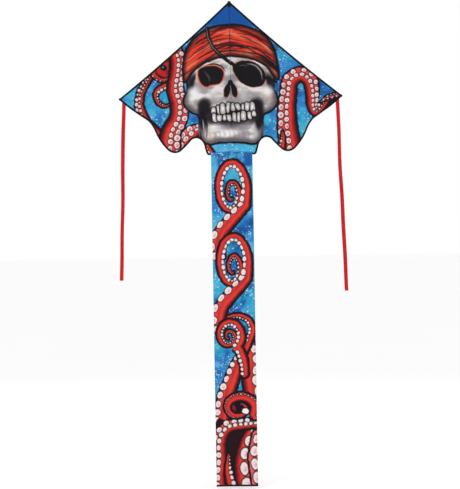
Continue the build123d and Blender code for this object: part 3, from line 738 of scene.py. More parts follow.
def paint_tail(x, drop):
    """The tail's print: curled arms above, a tangle of larger ones below; drop starts at the tail's top."""
    p = Print(x, -drop)
    p.water(9)
    # big pale-cupped arms on the right, and the tangle round them
    p.arm(
        [(60, -860), (78, -940), (72, -1020), (84, -1110), (110, -1200)], [30, 38, 42, 44, 40], 1, 0.44, 61,
        pale=0.6, long=1.35, white=True
    )
    p.arm(
        [
            (-78, -1330), (-66, -1220), (-54, -1140), (-22, -1050), (16, -950), (54, -880), (82, -815),
            (74, -768), (42, -742), (-4, -736), (-46, -752)
        ],
        [30, 34, 36, 40, 37, 30, 22, 18, 16, 13, 9], 1, 0.38, 55, edge=0.72, white=True,
    )
    low = curve(
        [(-100, -1250), (-40, -1230), (40, -1226), (100, -1236), (110, -1580), (-110, -1580)], closed=True
    )
    p.fill(low, rgb(34, 8, 14))
    p.arm(
        [(58, -1640), (40, -1520), (30, -1440), (44, -1350), (84, -1270)], [56, 52, 46, 38, 32], -1, 0.52, 63,
        pale=0.3, start=20, long=1.38, edge=0.10, white=True
    )
    p.arm(
        [(112, -1620), (98, -1500), (86, -1400), (98, -1300)], [34, 36, 34, 26], 1, 0.58, 64, pale=0.4,
        start=60, long=1.4, edge=0.12, white=True
    )
    p.arm(
        [(-62, -1640), (-92, -1520), (-84, -1420), (-82, -1330), (-48, -1266), (20, -1250), (112, -1244)],
        [36, 42, 42, 38, 32, 27, 24], 1, 0.38, 67, rows=2, white=True
    )
    p.arm([(6, -1640), (-22, -1560), (-42, -1470), (-40, -1390)], [26, 26, 20, 8], -1, 0.4, 69, white=True)
    ring = spiral(14, -1172, 80, 66, 1.3, -0.5, 0.3)
    p.fill(curve(ring[:11], closed=True), rgb(22, 6, 14))
    p.blob(-22, -1176, 20, 30, rgb(130, 24, 30), 0, 0.3)
    p.arm(ring, [26, 24, 23, 20, 16, 11, 7], -1, 0.2, 71)
    p.blob(44, -1186, 20, 18, INK, 0, 0.2)
    p.blob(44, -1186, 15.5, 13.5, PALE, 0, 0.25)
    # three curls, each growing out from behind the one below
    for cz, seed in ((-133, 41), (-479, 43)):
        neck = [(-66, cz - 318), (-72, cz - 262), (-54, cz - 208), (-6, cz - 152), (50, cz - 94)]
        loops = spiral(-8, cz, 80, 146, 1.95, -0.52, 0.06, (4, -42))
        p.arm(
            neck + loops, [30, 33, 32, 27, 21, 19, 18, 18, 17, 15, 13, 10, 6], 1, 0.42, seed, long=1.55,
            edge=0.80, white=True
        )
    third = [(44, -1010), (40, -960), (24, -905)] + spiral(-28, -826, 62, 74, 1.9, -0.9, 0.08, (0, -10))
    p.arm(third, [20, 24, 24, 22, 20, 18, 16, 13, 10, 6], 1, 0.34, 45, white=True)
    p.spray(83, share=0.46)
    return p


def add_colours(ob, p):
    layer = ob.data.color_attributes.new("print", "FLOAT_COLOR", "POINT")
    layer.data.foreach_set("color", p.colours().astype(np.float32).ravel())


# ------------------------------------------------------------------ materials
class Nodes:
    """A material with short calls for the nodes that it is built from."""

    def __init__(self, name, **shader):
        self.m = bpy.data.materials.new(name)
        self.m.use_nodes = True
        self.t = self.m.node_tree
        self.bsdf = self.t.nodes["Principled BSDF"]
        for k, v in shader.items():
            self.bsdf.inputs[k.replace("_", " ")].default_value = v
        self.place = self.node("ShaderNodeTexCoord").outputs["Object"]

    def node(self, kind, inputs=(), **settings):
        n = self.t.nodes.new(kind)
        for k, v in settings.items():
            setattr(n, k, v)
        for k, v in dict(inputs).items():
            self.put(n.inputs[k], v)
        return n

    def put(self, socket, value):
        if isinstance(value, bpy.types.NodeSocket):
            self.t.links.new(value, socket)
        else:
            socket.default_value = value

    def math(self, op, a, b=0.0):
        return self.node("ShaderNodeMath", {0: a, 1: b}, operation=op).outputs[0]

    def scaled(self, sx, sy, sz):
        return self.node("ShaderNodeMapping", {"Vector": self.place, "Scale": (sx, sy, sz)}).outputs[0]

    def noise(self, scale, detail=3.0, rough=0.55, vector=None):
        inputs = {"Vector": vector or self.place, "Scale": scale, "Detail": detail, "Roughness": rough}
        return self.node("ShaderNodeTexNoise", inputs).outputs["Fac"]

    def ramp(self, value, low, high, a=0.0, b=1.0):
        inputs = {"Value": value, "From Min": low, "From Max": high, "To Min": a, "To Max": b}
        return self.node("ShaderNodeMapRange", inputs, interpolation_type="SMOOTHSTEP").outputs[0]

    def mix(self, fac, a, b, blend="MIX"):
        return self.node("ShaderNodeMix", {0: fac, 6: a, 7: b}, data_type="RGBA", blend_type=blend).outputs[2]

    def bump(self, height, distance, strength=1.0, normal=None):
        n = self.node("ShaderNodeBump", {"Height": height, "Distance": distance, "Strength": strength})
        if normal is not None:
            self.t.links.new(normal, n.inputs["Normal"])
        return n.outputs[0]

    def weave(self, pitch):
        """Height of a plain weave of that pitch in metres, as two crossed sets of threads."""
        k = 2 * math.pi / pitch
        axes = self.node("ShaderNodeSeparateXYZ", {0: self.place}).outputs
        warp = self.math("SINE", self.math("MULTIPLY", axes[0], k))
        weft = self.math("SINE", self.math("MULTIPLY", axes[2], k))
        return self.math("MULTIPLY", warp, weft)

    def ripstop(self):
        """1 on the thicker crossed threads of ripstop cloth, 5.2 mm apart."""
        axes = self.node("ShaderNodeSeparateXYZ", {0: self.place}).outputs
        across, along = (self.ramp(self.math("PINGPONG", axes[k], 0.0052 / 2), 0.00030, 0.0) for k in (0, 2))
        return self.math("MAXIMUM", across, along)

    def finish(self, **links):
        for k, v in links.items():
            self.put(self.bsdf.inputs[k.replace("_", " ")], v)
        return self.m


def rgba(r, g, b):
    """The same colour as light, with an alpha of 1."""
    return (*[float(v) for v in linear(rgb(r, g, b))], 1.0)


BLACK, WHITE = (0.0, 0.0, 0.0, 1.0), (1.0, 1.0, 1.0, 1.0)


def print_cloth(name):
    """Dyed ripstop: the painted print, pale specks on its bare ground, and a fine grid in the cloth."""
    n = Nodes(name, Roughness=0.52, Specular_IOR_Level=0.12)
    paint = n.node("ShaderNodeAttribute", attribute_name="print")
    ground = paint.outputs["Alpha"]
    grain = n.noise(95.0, 4.0, 0.7)
    c = n.mix(n.ramp(grain, 0.35, 0.72, 0.0, 0.16), paint.outputs["Color"], WHITE, "SOFT_LIGHT")
    patches = n.ramp(n.noise(13.0, 2.0), 0.44, 0.62)
    for scale, size, thin in ((150.0, 0.20, 0.72), (78.0, 0.15, 0.62), (330.0, 0.24, 0.50)):
        cells = n.node("ShaderNodeTexVoronoi", {"Vector": n.place, "Scale": scale})
        keep = n.ramp(
            n.node("ShaderNodeSeparateColor", {0: cells.outputs["Color"]}).outputs[0], thin, thin + 0.03
        )
        dot = n.math("MULTIPLY", n.ramp(cells.outputs["Distance"], size, size * 0.45), keep)
        dot = n.math(
            "MULTIPLY", n.math("MULTIPLY", dot, ground), n.math("ADD", n.math("MULTIPLY", patches, 0.8), 0.12)
        )
        c = n.mix(dot, c, rgba(214, 238, 250))
    threads = n.ripstop()
    c = n.mix(n.math("MULTIPLY", threads, 0.10), c, BLACK)
    rough = n.ramp(n.noise(40.0), 0.3, 0.7, 0.46, 0.60)
    wrinkle = n.bump(n.noise(9.0, 4.0, 0.5, n.scaled(1.0, 1.0, 0.6)), 0.0035, 0.35)
    ribs = n.bump(n.math("ADD", threads, n.math("MULTIPLY", n.weave(0.0007), 0.35)), 0.00012, 0.6, wrinkle)
    return n.finish(Base_Color=c, Roughness=rough, Normal=ribs)


def plain_cloth(name, colour, dark, pitch=0.0007, rough=0.62, rib=0.00010, ripstop=False):
    """Woven cloth of one dye, a little uneven, worn paler in places, with painted shade in the hollows of its
    weave.
    """
    n = Nodes(name, Specular_IOR_Level=0.12)
    uneven = n.ramp(n.noise(60.0, 4.0, 0.65), 0.30, 0.72)
    c = n.mix(uneven, dark, colour)
    weave = height = n.weave(pitch)
    # painted shade: the colour darkens where the weave is low, in the hollows between its threads
    c = n.mix(n.ramp(weave, -1.0, 1.0, 0.20, 0.0), c, BLACK)
    if ripstop:
        threads = n.ripstop()
        height = n.math("ADD", weave, n.math("MULTIPLY", threads, 1.6))
        c = n.mix(n.math("MULTIPLY", threads, 0.15), c, BLACK)
    folds = n.bump(n.noise(14.0, 3.0), 0.002, 0.3)
    dull = n.ramp(n.noise(120.0), 0.3, 0.7, rough - 0.08, rough + 0.08)
    return n.finish(Base_Color=c, Roughness=dull, Normal=n.bump(height, rib, 0.7, folds))


def binding_tape(name):
    """Black woven edge tape: ribs across it, dust grey on the worn high spots."""
    n = Nodes(name, Specular_IOR_Level=0.10)
    worn = n.ramp(n.noise(55.0, 5.0, 0.7), 0.52, 0.80)
    c = n.mix(worn, rgba(13, 13, 15), rgba(38, 38, 42))
    ribs = n.weave(0.0011)
    return n.finish(
        Base_Color=c, Roughness=n.ramp(worn, 0.0, 1.0, 0.60, 0.78), Normal=n.bump(ribs, 0.00018, 0.8)
    )


def rod_finish(name):
    """Pultruded fibreglass: dark resin with faint lengthways fibres and light scuffs."""
    n = Nodes(name, Coat_Weight=0.35, Coat_Roughness=0.25, Specular_IOR_Level=0.5)
    fibres = n.noise(900.0, 2.0, 0.6, n.scaled(1.0, 1.0, 0.05))
    scuff = n.ramp(n.noise(160.0, 5.0, 0.7), 0.58, 0.75)
    c = n.mix(n.ramp(fibres, 0.35, 0.65), rgba(16, 16, 18), rgba(36, 36, 40))
    c = n.mix(n.math("MULTIPLY", scuff, 0.4), c, rgba(92, 92, 96))
    return n.finish(
        Base_Color=c, Roughness=n.ramp(scuff, 0.0, 1.0, 0.32, 0.58), Normal=n.bump(fibres, 0.00006, 0.5)
    )


def vinyl_finish(name, colour, dark):
    """Soft moulded vinyl: slightly cloudy, fine pebble."""
    n = Nodes(name, Specular_IOR_Level=0.5, Subsurface_Weight=0.05)
    n.bsdf.inputs["Subsurface Radius"].default_value = (0.002, 0.002, 0.002)
    pebble = n.noise(1400.0, 2.0, 0.6)
    c = n.mix(n.ramp(n.noise(150.0, 4.0), 0.3, 0.7), dark, colour)
    return n.finish(
        Base_Color=c, Roughness=n.ramp(n.noise(300.0, 3.0), 0.3, 0.7, 0.36, 0.52),
        Normal=n.bump(pebble, 0.00008, 0.5)
    )


def brass_finish(name):
    n = Nodes(name, Metallic=1.0)
    tarnish = n.ramp(n.noise(700.0, 5.0, 0.7), 0.42, 0.72)
    c = n.mix(tarnish, rgba(214, 178, 104), rgba(128, 96, 52))
    spun = n.noise(2600.0, 2.0, 0.5, n.scaled(3.0, 1.0, 1.0))
    return n.finish(
        Base_Color=c, Roughness=n.ramp(tarnish, 0.0, 1.0, 0.24, 0.46), Normal=n.bump(spun, 0.00003, 0.5)
    )


M = {
    "sail": print_cloth("sail_print_cloth"),
    "tail": print_cloth("tail_print_cloth"),
    "binding": binding_tape("black_edge_tape"),
    "thread": plain_cloth("stitch_thread", rgba(40, 40, 44), rgba(22, 22, 25), 0.0004, 0.5),
    "pale_thread": plain_cloth("webbing_thread", rgba(120, 120, 126), rgba(84, 84, 90), 0.0004, 0.5),
    "tape": plain_cloth("seam_tape_cloth", rgba(24, 30, 46), rgba(12, 14, 22), 0.0008, 0.6, 0.00015),
    "webbing": plain_cloth("nose_webbing", rgba(22, 22, 24), rgba(9, 9, 10), 0.0016, 0.66, 0.0004),
    "patch": plain_cloth("tip_patch_cloth", rgba(96, 98, 104), rgba(66, 68, 74), 0.0009, 0.6, 0.00015),
    "ribbon": plain_cloth("red_ribbon_cloth", rgba(214, 32, 36), rgba(184, 22, 28), 0.0006, 0.42, 0.00008),
    "keel": plain_cloth(
        "keel_cloth", rgba(20, 84, 158), rgba(12, 62, 128), 0.0007, 0.55, 0.00010, ripstop=True
    ),
    "hem": plain_cloth("tail_hem_cloth", rgba(22, 24, 36), rgba(10, 10, 16), 0.0007, 0.6),
    "rod": rod_finish("fibreglass_rod"),
    "vinyl": vinyl_finish("black_vinyl", rgba(34, 34, 38), rgba(16, 16, 18)),
    "cap": vinyl_finish("end_cap_vinyl", rgba(40, 40, 42), rgba(20, 20, 22)),
    "brass": brass_finish("pressed_brass"),
}


def dress(ob, material, slot, *nodes, body=None):
    """Gives a piece its material and the body that it rides on, and hides the CAD nodes that it stands for.
    slot is not used.
    """
    ob.data.materials.clear()
    ob.data.materials.append(M[material])
    if nodes:
        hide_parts(*nodes)
    if body:
        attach(ob, body)
    return ob


def sew(name, line, out, row=(), material="thread", slot="black_binding", body=None):
    """A row of stitches as a piece of its own."""
    return dress(stitches(name, line, out, *row), material, slot, body=body)


# ------------------------------------------------------------------ the two wings
def across_blend(ob, side):
    """Works out two points near the seam, which nothing uses, and bakes the piece's placement into its
    points.
    """
    start, end = (tuple(wing(side, u, -300.0, 0.0)) for u in (2.0, 26.0))
    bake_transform(ob)


def make_sail(side, name):
    """The printed cloth, with its points closer together over the flap."""
    runs = ((0, 118, 58, False), (118, 150, 22, False), (150, 583.2, 206, True))
    u = np.concatenate([np.linspace(a, b, n, endpoint=last) for a, b, n, last in runs])
    top, low = leading_v(u) - 0.8, trailing_v(u) + 0.8
    drop = top + (low - top) * np.linspace(0, 1, 320)[:, None]
    span = np.broadcast_to(u, drop.shape)
    paint = paint_sail(side * span * PRINT_ACROSS, drop)
    ob = sheet_mesh(f"{name}_sail_cloth", on_sail(side, span, drop, 0.0), side == LEFT, paint)
    dress(ob, "sail", "sail_print", f"{name}_sail")
    across_blend(ob, side)


def make_leading_sleeve(side, name):
    """The bound leading edge: a tape over the cloth's front and a pocket for the spar behind it."""
    steps = 420
    u = np.linspace(3.0, HALF_SPAN - 0.4, steps)
    line = np.stack([u, leading_v(u)], 1)
    inward = -left_of(line)
    # the pocket's back is cut away where the fitting grips the spar
    at_fitting = np.abs(u - FITTING_SPAN)
    bulge = smooth(11.0, 14.5, at_fitting) * smooth(3, 9, u) * smooth(HALF_SPAN - 2, HALF_SPAN - 8, u)
    pucker = 0.22 * np.sin(u / 3.1 + np.sin(u / 17)) + 0.25 * np.sin(u / 11.0)
    shape = [(9.6, 0.15), (9.4, 0.55), (6.5, 0.75), (3.4, 0.85), (1.0, 0.65), (0.1, 0.0), (0.35, -0.7)]
    pocket = [
        (1.2, -2.2), (1.6, -4.6), (2.5, -6.2), (4.2, -6.95), (5.9, -6.3), (6.9, -4.6), (7.4, -2.6),
        (8.0, -1.3)
    ]
    shape += pocket + [(9.4, -0.85), (9.7, -0.4)]
    rings = []
    for w, n in shape:
        height = -0.85 + (n + 0.85) * bulge if (w, n) in pocket else np.full(steps, n)
        if n > 0.2:
            height = height + pucker * 0.35
        rings.append(wing(side, *(line + inward * w).T, height))
    ob = dress(
        band(f"{name}_leading_edge_tape", np.stack(rings, 1)), "binding", "black_binding",
        f"{name}_leading_sleeve"
    )
    across_blend(ob, side)
    row = (line + inward * 8.2).T
    out = wing(side, *row, 2.0) - wing(side, *row, 0.0)
    across_blend(sew(f"{name}_leading_edge_stitching", wing(side, *row, 0.78), out), side)


def make_trailing_binding(side, name):
    """Tape folded over the free edge, with a row of stitches through it."""
    s = run_along(TRAILING)
    q = np.linspace(0.5, s[-1] - 1.0, 460)
    line = np.stack([np.interp(q, s, TRAILING[:, 0]), np.interp(q, s, TRAILING[:, 1])], 1)
    # the inward direction is evened out, so that the tape turns its corners without a crease
    inward = -left_of(line)
    kernel = np.hanning(9) / np.hanning(9).sum()
    padded = np.concatenate([inward[:1].repeat(4, 0), inward, inward[-1:].repeat(4, 0)])
    inward = unit(np.stack([np.convolve(padded[:, k], kernel, "valid") for k in (0, 1)], 1))
    half = [(BINDING, 0.12), (BINDING - 0.3, 0.5), (5.0, 0.62), (1.0, 0.6)]
    shape = half + [(0.0, 0.0)] + [(w, -n) for w, n in half[::-1]]
    pucker = 0.12 * np.sin(q / 3.3 + np.sin(q / 19))
    rings = [on_sail(side, *(line + inward * w).T, n + pucker * (n > 0)) for w, n in shape]
    ob = dress(
        band(f"{name}_trailing_edge_tape", np.stack(rings, 1)), "binding", "black_binding",
        f"{name}_trailing_binding"
    )
    across_blend(ob, side)
    row = (line + inward * 7.9).T
    face = on_sail(side, *row, 0.72)
    across_blend(sew(f"{name}_trailing_edge_stitching", face, face - on_sail(side, *row, -1.0)), side)


def make_tip(side, name):
    """Corner patch behind the tip, and the sewn tab behind that, which holds the streamer."""
    body = f"{name}_wing"
    f = np.linspace(0, 1, 26)
    tip, top, foot = np.array([560.0, -437.0]), np.array([500.0, -393.5]), np.array([502.0, -481.0])
    edge = top[None] + (foot - top)[None] * f[:, None] + np.stack([6 * np.sin(math.pi * f), 0 * f], 1)
    grid = tip[None, None] + (edge[None] - tip) * np.linspace(0.03, 1, 22)[:, None, None]
    front, back = (on_sail(side, grid[..., 0], grid[..., 1], n) for n in (-0.45, -0.85))
    dress(slab(f"{name}_tip_corner_patch", front, back), "patch", "patch", f"{name}_tip_patch", body=body)
    v = np.linspace(-434.0, -449.4, 14)
    centre = on_sail(side, np.full(14, RIBBON_SPAN), v, RIBBON_BACK)
    flat = lambda u, n: wing(side, np.full(14, u), v, n)
    out = unit(flat(RIBBON_SPAN, 1.0) - flat(RIBBON_SPAN, 0.0))
    across = unit(flat(RIBBON_SPAN + 1, 0.0) - flat(RIBBON_SPAN, 0.0))
    tab = tape(f"{name}_streamer_anchor", centre, across, out, 2 * RIBBON_HALF, 0.7)
    dress(tab, "ribbon", "red_ribbon", f"{name}_streamer_tab", body=body)
    # the stitches go round a box and along both of its diagonals
    a, b, c, d = (548, -436), (564, -436), (564, -447), (548, -447)
    box = np.array([a, b, c, d, a, c, d, b], float)
    row = np.concatenate([np.linspace(p, q, 12, endpoint=False) for p, q in zip(box, box[1:])]).T
    face = on_sail(side, *row, RIBBON_BACK - 0.4)
    sew(f"{name}_streamer_anchor_stitching", face, face - on_sail(side, *row, 0.0), TACK_ROW, body=body)


for side, name in SIDES:
    make_sail(side, name)
    make_leading_sleeve(side, name)
    make_trailing_binding(side, name)
    make_tip(side, name)


# ------------------------------------------------------------------ centre
def middle(x, back, drop):
    """Row-frame points in metres from x, distance behind the seam and drop below the nose, in mm."""
    x, back, drop = np.broadcast_arrays(np.asarray(x, float), back, drop)
    return np.stack([x, SEAM_Y + back, NOSE_Z - drop], -1) * MM


def v_fold(x, drop):
    """How far behind the seam the cloth lies beside it."""
    x, drop = np.broadcast_arrays(np.asarray(x, float), drop)
    return V_SLOPE * (np.sqrt(x**2 + 0.6) - 0.77) - billow(np.abs(x) / C, -drop) / C


def make_seam():
    """Tape down the back of the seam, the turned edge on its front, and the rows of stitches through both."""
    drop = np.linspace(5, 711, 260)[:, None]
    x = np.linspace(-6.5, 6.5, 13)[None]
    back = v_fold(x, drop) + 0.6 + 0.06 * np.sin(drop / 9)
    strip = slab("centre_seam_tape", middle(x, back, drop), middle(x, back + 0.4, drop))
    dress(strip, "tape", "seam_tape", "seam_tape", body="frame")
    drop = np.linspace(26, 706, 260)
    shape = [
        (-1.3, 0.1), (-1.0, -0.3), (-0.4, -0.6), (0.4, -0.6), (1.0, -0.3), (1.3, 0.1), (0.8, 0.15),
        (-0.8, 0.15)
    ]
    rings = np.stack([middle(a, b + V_SLOPE * abs(a), drop) for a, b in shape], 1)
    fold = band("centre_seam_fold", rings)
    # the fold takes the print down the seam's middle, and with it the painted shade line there
    add_colours(fold, paint_sail(0 * rings[..., 2] / MM, rings[..., 2] / MM - NOSE_Z))
    dress(fold, "sail", "sail_print", body="frame")
    drop = np.linspace(30, 704, 300)
    for side, name in SIDES:
        line = middle(side * 4.6, v_fold(4.6, drop) - 0.3, drop)
        thread = stitches(f"centre_seam_stitching_{name}", line, face_normal(side), radius=0.2)
        at = np.array([v.co for v in thread.data.vertices]) / MM
        add_colours(thread, paint_sail(at[:, 0], at[:, 2] - NOSE_Z))
        dress(thread, "sail", "sail_print", body="frame")


def make_spine_sleeve(name, top, foot, node):
    """Cloth channel sewn along both sides of the spine."""
    half = [
        (0.0, 7.05), (1.25, 6.8), (2.25, 6.05), (2.85, 4.9), (2.95, 3.9), (3.3, 3.1), (4.4, 3.05), (6.1, 3.65)
    ]
    outline = np.array([(-x, y) for x, y in half[::-1]] + half[1:])
    drop = np.linspace(top, foot, max(60, int((foot - top) / 3)))[:, None]
    x = np.broadcast_to(outline[:, 0][None], (len(drop), len(outline)))
    mid, round_spine = smooth(5, 2, np.abs(x)), np.abs(x) < 3.2
    y = outline[:, 1][None] - (1 - mid) * billow(np.abs(x) / C, -drop) / C
    loose = 0.22 * np.sin(drop / 7.3 + x) * mid + 0.18 * np.sin(drop / 23.0) * mid
    gather = 1 + 0.05 * np.sin(drop / 5.1 + np.sin(drop / 13)) * mid
    outer = middle(x * gather, y + loose + 0.05, drop)
    inner_x = x * np.where(round_spine, 0.84, 1.0)
    inner_y = np.where(round_spine, SPAR_BACK + (y - SPAR_BACK) * 0.86, y - 0.4)
    inner = middle(inner_x * gather, inner_y + loose * 0.8, drop)
    dress(slab(name, outer, inner), "tape", "seam_tape", node, body="frame")
    d = np.linspace(top + 2, foot - 2, 120)
    for side, label in SIDES:
        line = middle(side * 5.1, 3.36 - billow(5.1 / C, -d) / C, d)
        sew(f"{name}_stitching_{label}", line, BACKWARD, body="frame")


def folded_webbing(name, path, width, thickness, lean, node):
    """A strap folded along path, (distance behind the seam, drop); lean is how far its sides sweep back."""
    line = curve(path, per=8)
    normal = left_of(line) * thickness / 2
    swept = spread(lean, np.linspace(0, 1, len(line)))
    x = np.linspace(-width / 2, width / 2, 15)[None]
    edge = 1 - 0.35 * smooth(width / 2 - 1.2, width / 2, np.abs(x))
    grids = []
    for k in (1, -1):
        p = line[:, None, :] + k * normal[:, None, :] * edge[..., None]
        grids.append(middle(x, p[..., 0] + swept[:, None] * np.abs(x), p[..., 1]))
    dress(slab(name, *grids), "webbing", "webbing", node, body="frame")


def webbing_row(name, half, back, lean, drop, out):
    """A row of pale stitches across a strap."""
    x = np.linspace(-half, half, 24)
    sew(
        f"{name}_{int(drop)}", middle(x, back + lean * np.abs(x), drop), out, WEBBING_ROW, "pale_thread",
        body="frame"
    )


def make_pockets():
    """Straps folded over the spine's two ends."""
    nose = [
        (-1.3, 27.4), (-1.35, 20), (-1.3, 12), (-1.2, 5), (-0.4, 1.6), (1.8, 0.75), (4.6, 0.75), (6.6, 1.6),
        (7.25, 5),
        (7.3, 12), (7.25, 20), (7.2, 27.6),
    ]
    folded_webbing(
        "nose_webbing", nose, 15.0, 1.0, [0.36, 0.36, 0.34, 0.25, 0.1, 0.02, 0.02, 0.0], "nose_pocket"
    )
    for label, back, lean, out in (("front", -1.85, 0.36, FORWARD), ("back", 7.8, 0.0, BACKWARD)):
        for drop in (6.5, 23.5):
            webbing_row(f"nose_webbing_{label}_stitching", 6.2, back, lean, drop, out)
    foot = [
        (1.45, 689.5), (1.45, 698), (1.45, 708), (1.7, 713), (3.0, 715.3), (5.2, 715.3), (6.8, 713),
        (7.4, 708),
        (7.5, 698), (7.45, 689),
    ]
    folded_webbing("foot_webbing", foot, 13.0, 0.9, [0.34, 0.34, 0.3, 0.15, 0.05, 0.0, 0.0], "foot_pocket")
    for drop in (692.5, 705.0):
        webbing_row("foot_webbing_stitching", 5.4, 8.0, 0.0, drop, BACKWARD)


# how far behind the seam the arms' axes meet, and how long an arm is
FOLD_BACK, ARM = 9.707, 42.0


def make_centre_joint():
    """Soft vinyl tee: a hub gripping the spine and two short tubes that take the half spreaders."""
    around = np.linspace(0, 2 * math.pi, 40, endpoint=False)

    def hub_ring(z, r, far=0.0):
        x, y = r * np.cos(around), r * np.sin(around)
        return middle(x, SPAR_BACK + y + np.where(y > 0, far, 0.0), SPREADER_DROP - z)

    def far_at(z):
        return (FOLD_BACK - SPAR_BACK) * float(smooth(7.6, 4.2, abs(z)))

    mouth = [(4.0, 2.1), (7.9, 2.1), (8.0, 2.9), (7.8, 3.25)]
    rings = [hub_ring(-z, r) for z, r in mouth]
    rings += [hub_ring(z, 3.45 + 0.12 * math.cos(z), far_at(z)) for z in np.linspace(-7.5, 7.5, 31)]
    rings += [hub_ring(z, r) for z, r in mouth[::-1]]
    dress(band("centre_joint_hub", np.stack(rings)), "vinyl", "vinyl", "centre_joint", body="frame")
    profile = [
        (0.0, 2.6), (0.6, 3.2), (1.5, 3.4), (ARM - 5.2, 3.4), (ARM - 4.6, 3.75), (ARM - 1.0, 3.75),
        (ARM - 0.3, 3.5),
        (ARM, 3.1), (ARM, 2.3), (ARM - 0.4, 2.1), (ARM - 12, 2.08),
    ]
    reach, radius = [], []
    for (s0, r0), (s1, r1) in zip(profile, profile[1:]):
        n = 1 if abs(s1 - s0) < 6 else 14
        reach += list(np.linspace(s0, s1, n, endpoint=False))
        radius += [r0 + (r1 - r0) * k / n for k in range(n)]
    reach, radius = np.array(reach + [profile[-1][0]]), radius + [profile[-1][1]]
    origin = middle(0.0, FOLD_BACK, SPREADER_DROP)
    for side, name in SIDES:
        axis = np.array([side * C, S, 0.0])
        centre = origin + reach[:, None] * axis * MM
        across, up = (np.broadcast_to(d, centre.shape) for d in (face_normal(side), UPWARD))
        arm = tube(f"{name}_centre_joint_arm", centre, across, up, radius, 28)
        dress(arm, "vinyl", "vinyl", "centre_joint")
        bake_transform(arm)


make_seam()
make_spine_sleeve("upper_spine_channel", 34, 400, "upper_spine_sleeve")
make_spine_sleeve("lower_spine_channel", 424, 686, "lower_spine_sleeve")
make_pockets()
make_centre_joint()


# ------------------------------------------------------------------ keel
KEEL_OUTLINE = np.concatenate([
    np.stack([np.linspace(1.0, 159.0, 60, endpoint=False), np.linspace(150.0, 284.0, 60, endpoint=False)], 1),
    arc((159, 284), (171, 302), (161, 320), 16),
    np.stack([np.linspace(161.0, 1.0, 80), np.linspace(320.0, 600.0, 80)], 1),
])
# the eyelet's reach and drop, and how near to its middle the cloth comes
EYELET, EYELET_HOLE = np.array([SEAM_Y, NOSE_Z]), 4.9


def keel_point(reach, drop, n=0.0):
    """Row-frame points of the keel, which bellies a little to one side between its seam and its eyelet."""
    reach, drop, n = np.broadcast_arrays(np.asarray(reach, float), drop, n)
    across = np.sin(math.pi * np.clip(reach / SEAM_Y, 0, 1))
    belly = 0.9 * across * np.sin(math.pi * np.clip((drop - 150) / 450, 0, 1))
    ripple = 0.25 * np.sin(drop / 31.0) * across
    return np.stack([belly + ripple + n, SEAM_Y - reach, NOSE_Z - drop], -1) * MM


def fan(outline, rings, power=1.6):
    """A grid of rings from the hole at the eyelet out to an outline."""
    rel = outline - EYELET
    angle = np.unwrap(np.arctan2(rel[:, 1], rel[:, 0]))
    if angle[-1] < angle[0]:
        angle, rel = angle[::-1], rel[::-1]
    far = np.hypot(rel[:, 0], rel[:, 1])
    d = np.stack([np.cos(angle), np.sin(angle)], 1)
    f = np.linspace(0, 1, rings)[:, None] ** power
    r = EYELET_HOLE + (far[None] - EYELET_HOLE) * f
    p = EYELET + r[..., None] * d[None]
    return p[..., 0], p[..., 1]


def washer(name, front, back):
    """A closed solid between two grids of points that run all the way round a hole."""
    rows, cols = front.shape[:2]
    half = rows * cols
    faces = grid_faces(rows, cols, wrap=True)
    faces += [tuple(i + half for i in reversed(q)) for q in faces]
    for row in (0, rows - 1):
        for i in range(cols):
            a, b = row * cols + i, row * cols + (i + 1) % cols
            faces.append((a, b, b + half, a + half))
    ob = mesh(name, np.stack([front, back]), faces)
    fix_normals(ob)
    return ob


def make_keel():
    """The keel's cloth, its bound edge, the patches round its eyelet, and stitches on both faces."""
    root = np.stack([np.full(90, 1.0), np.linspace(598.0, 152.0, 90)], 1)
    points = keel_point(*fan(np.concatenate([KEEL_OUTLINE, root]), 70))
    panel = mesh("keel_cloth", points, grid_faces(*points.shape[:2], wrap=True))
    dress(panel, "keel", "keel_cloth", "keel_panel", body="keel")
    x, y = KEEL_OUTLINE.T
    left = left_of(KEEL_OUTLINE)
    inward = left if np.dot(left[20], EYELET - KEEL_OUTLINE[20]) > 0 else -left
    half = [(8.0, 0.1), (7.7, 0.42), (4.0, 0.56), (0.9, 0.5)]
    shape = half + [(-0.2, 0.0)] + [(w, -n) for w, n in half[::-1]]
    keep = x > 4
    rings = np.stack([keel_point(*(KEEL_OUTLINE + inward * w)[keep].T, n) for w, n in shape], 1)
    dress(band("keel_edge_tape", rings), "binding", "black_binding", "keel_binding", body="keel")
    row = (KEEL_OUTLINE + inward * 6.6)[x > 16].T
    inner = KEEL_OUTLINE + inward * 8.4
    inner = inner[inner[:, 0] > 112]
    reach, drop = fan(np.concatenate([inner, np.linspace(inner[-1], inner[0], 26)[1:-1]]), 26, 1.2)
    for k, label in ((1, "right"), (-1, "left")):
        out = (float(k), 0.0, 0.0)
        sew(f"keel_edge_stitching_{label}", keel_point(*row, k * 0.62), out, body="keel")
        patch = [keel_point(reach, drop, k * n) for n in (0.55, 0.12)]
        dress(
            washer(f"keel_corner_patch_{label}", *patch), "patch", "patch", f"keel_patch_{label}", body="keel"
        )
        for share in (0.60, 0.97):
            ring = int((len(reach) - 1) * share)
            loop = keel_point(*(np.append(p[ring], p[ring, 0]) for p in (reach, drop)), k * 0.62)
            sew(f"keel_patch_stitching_{label}_{int(share * 100)}", loop, out, body="keel")


make_keel()


# ------------------------------------------------------------------ tail
TAIL_END = TAIL_DROP - 0.6


def header_point(x, drop, n=0.0):
    """The tail's lap in front of the flap: on the flap's bound foot above, in the tail's own fold below."""
    x, drop, n = np.broadcast_arrays(np.asarray(x, float), drop, n)
    flap = np.abs(x) * V_SLOPE - (billow(np.abs(x) / C, -np.minimum(drop, 720.0)) + 1.5) / C
    y = flap + (tail_y(x, drop) - flap) * smooth(720, 741, drop)
    return np.stack([x, SEAM_Y + y - n, NOSE_Z - drop], -1) * MM


def header_blend(ob):
    """The lap is sewn to the flap above; this only bakes the piece's placement into its points."""
    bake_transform(ob)


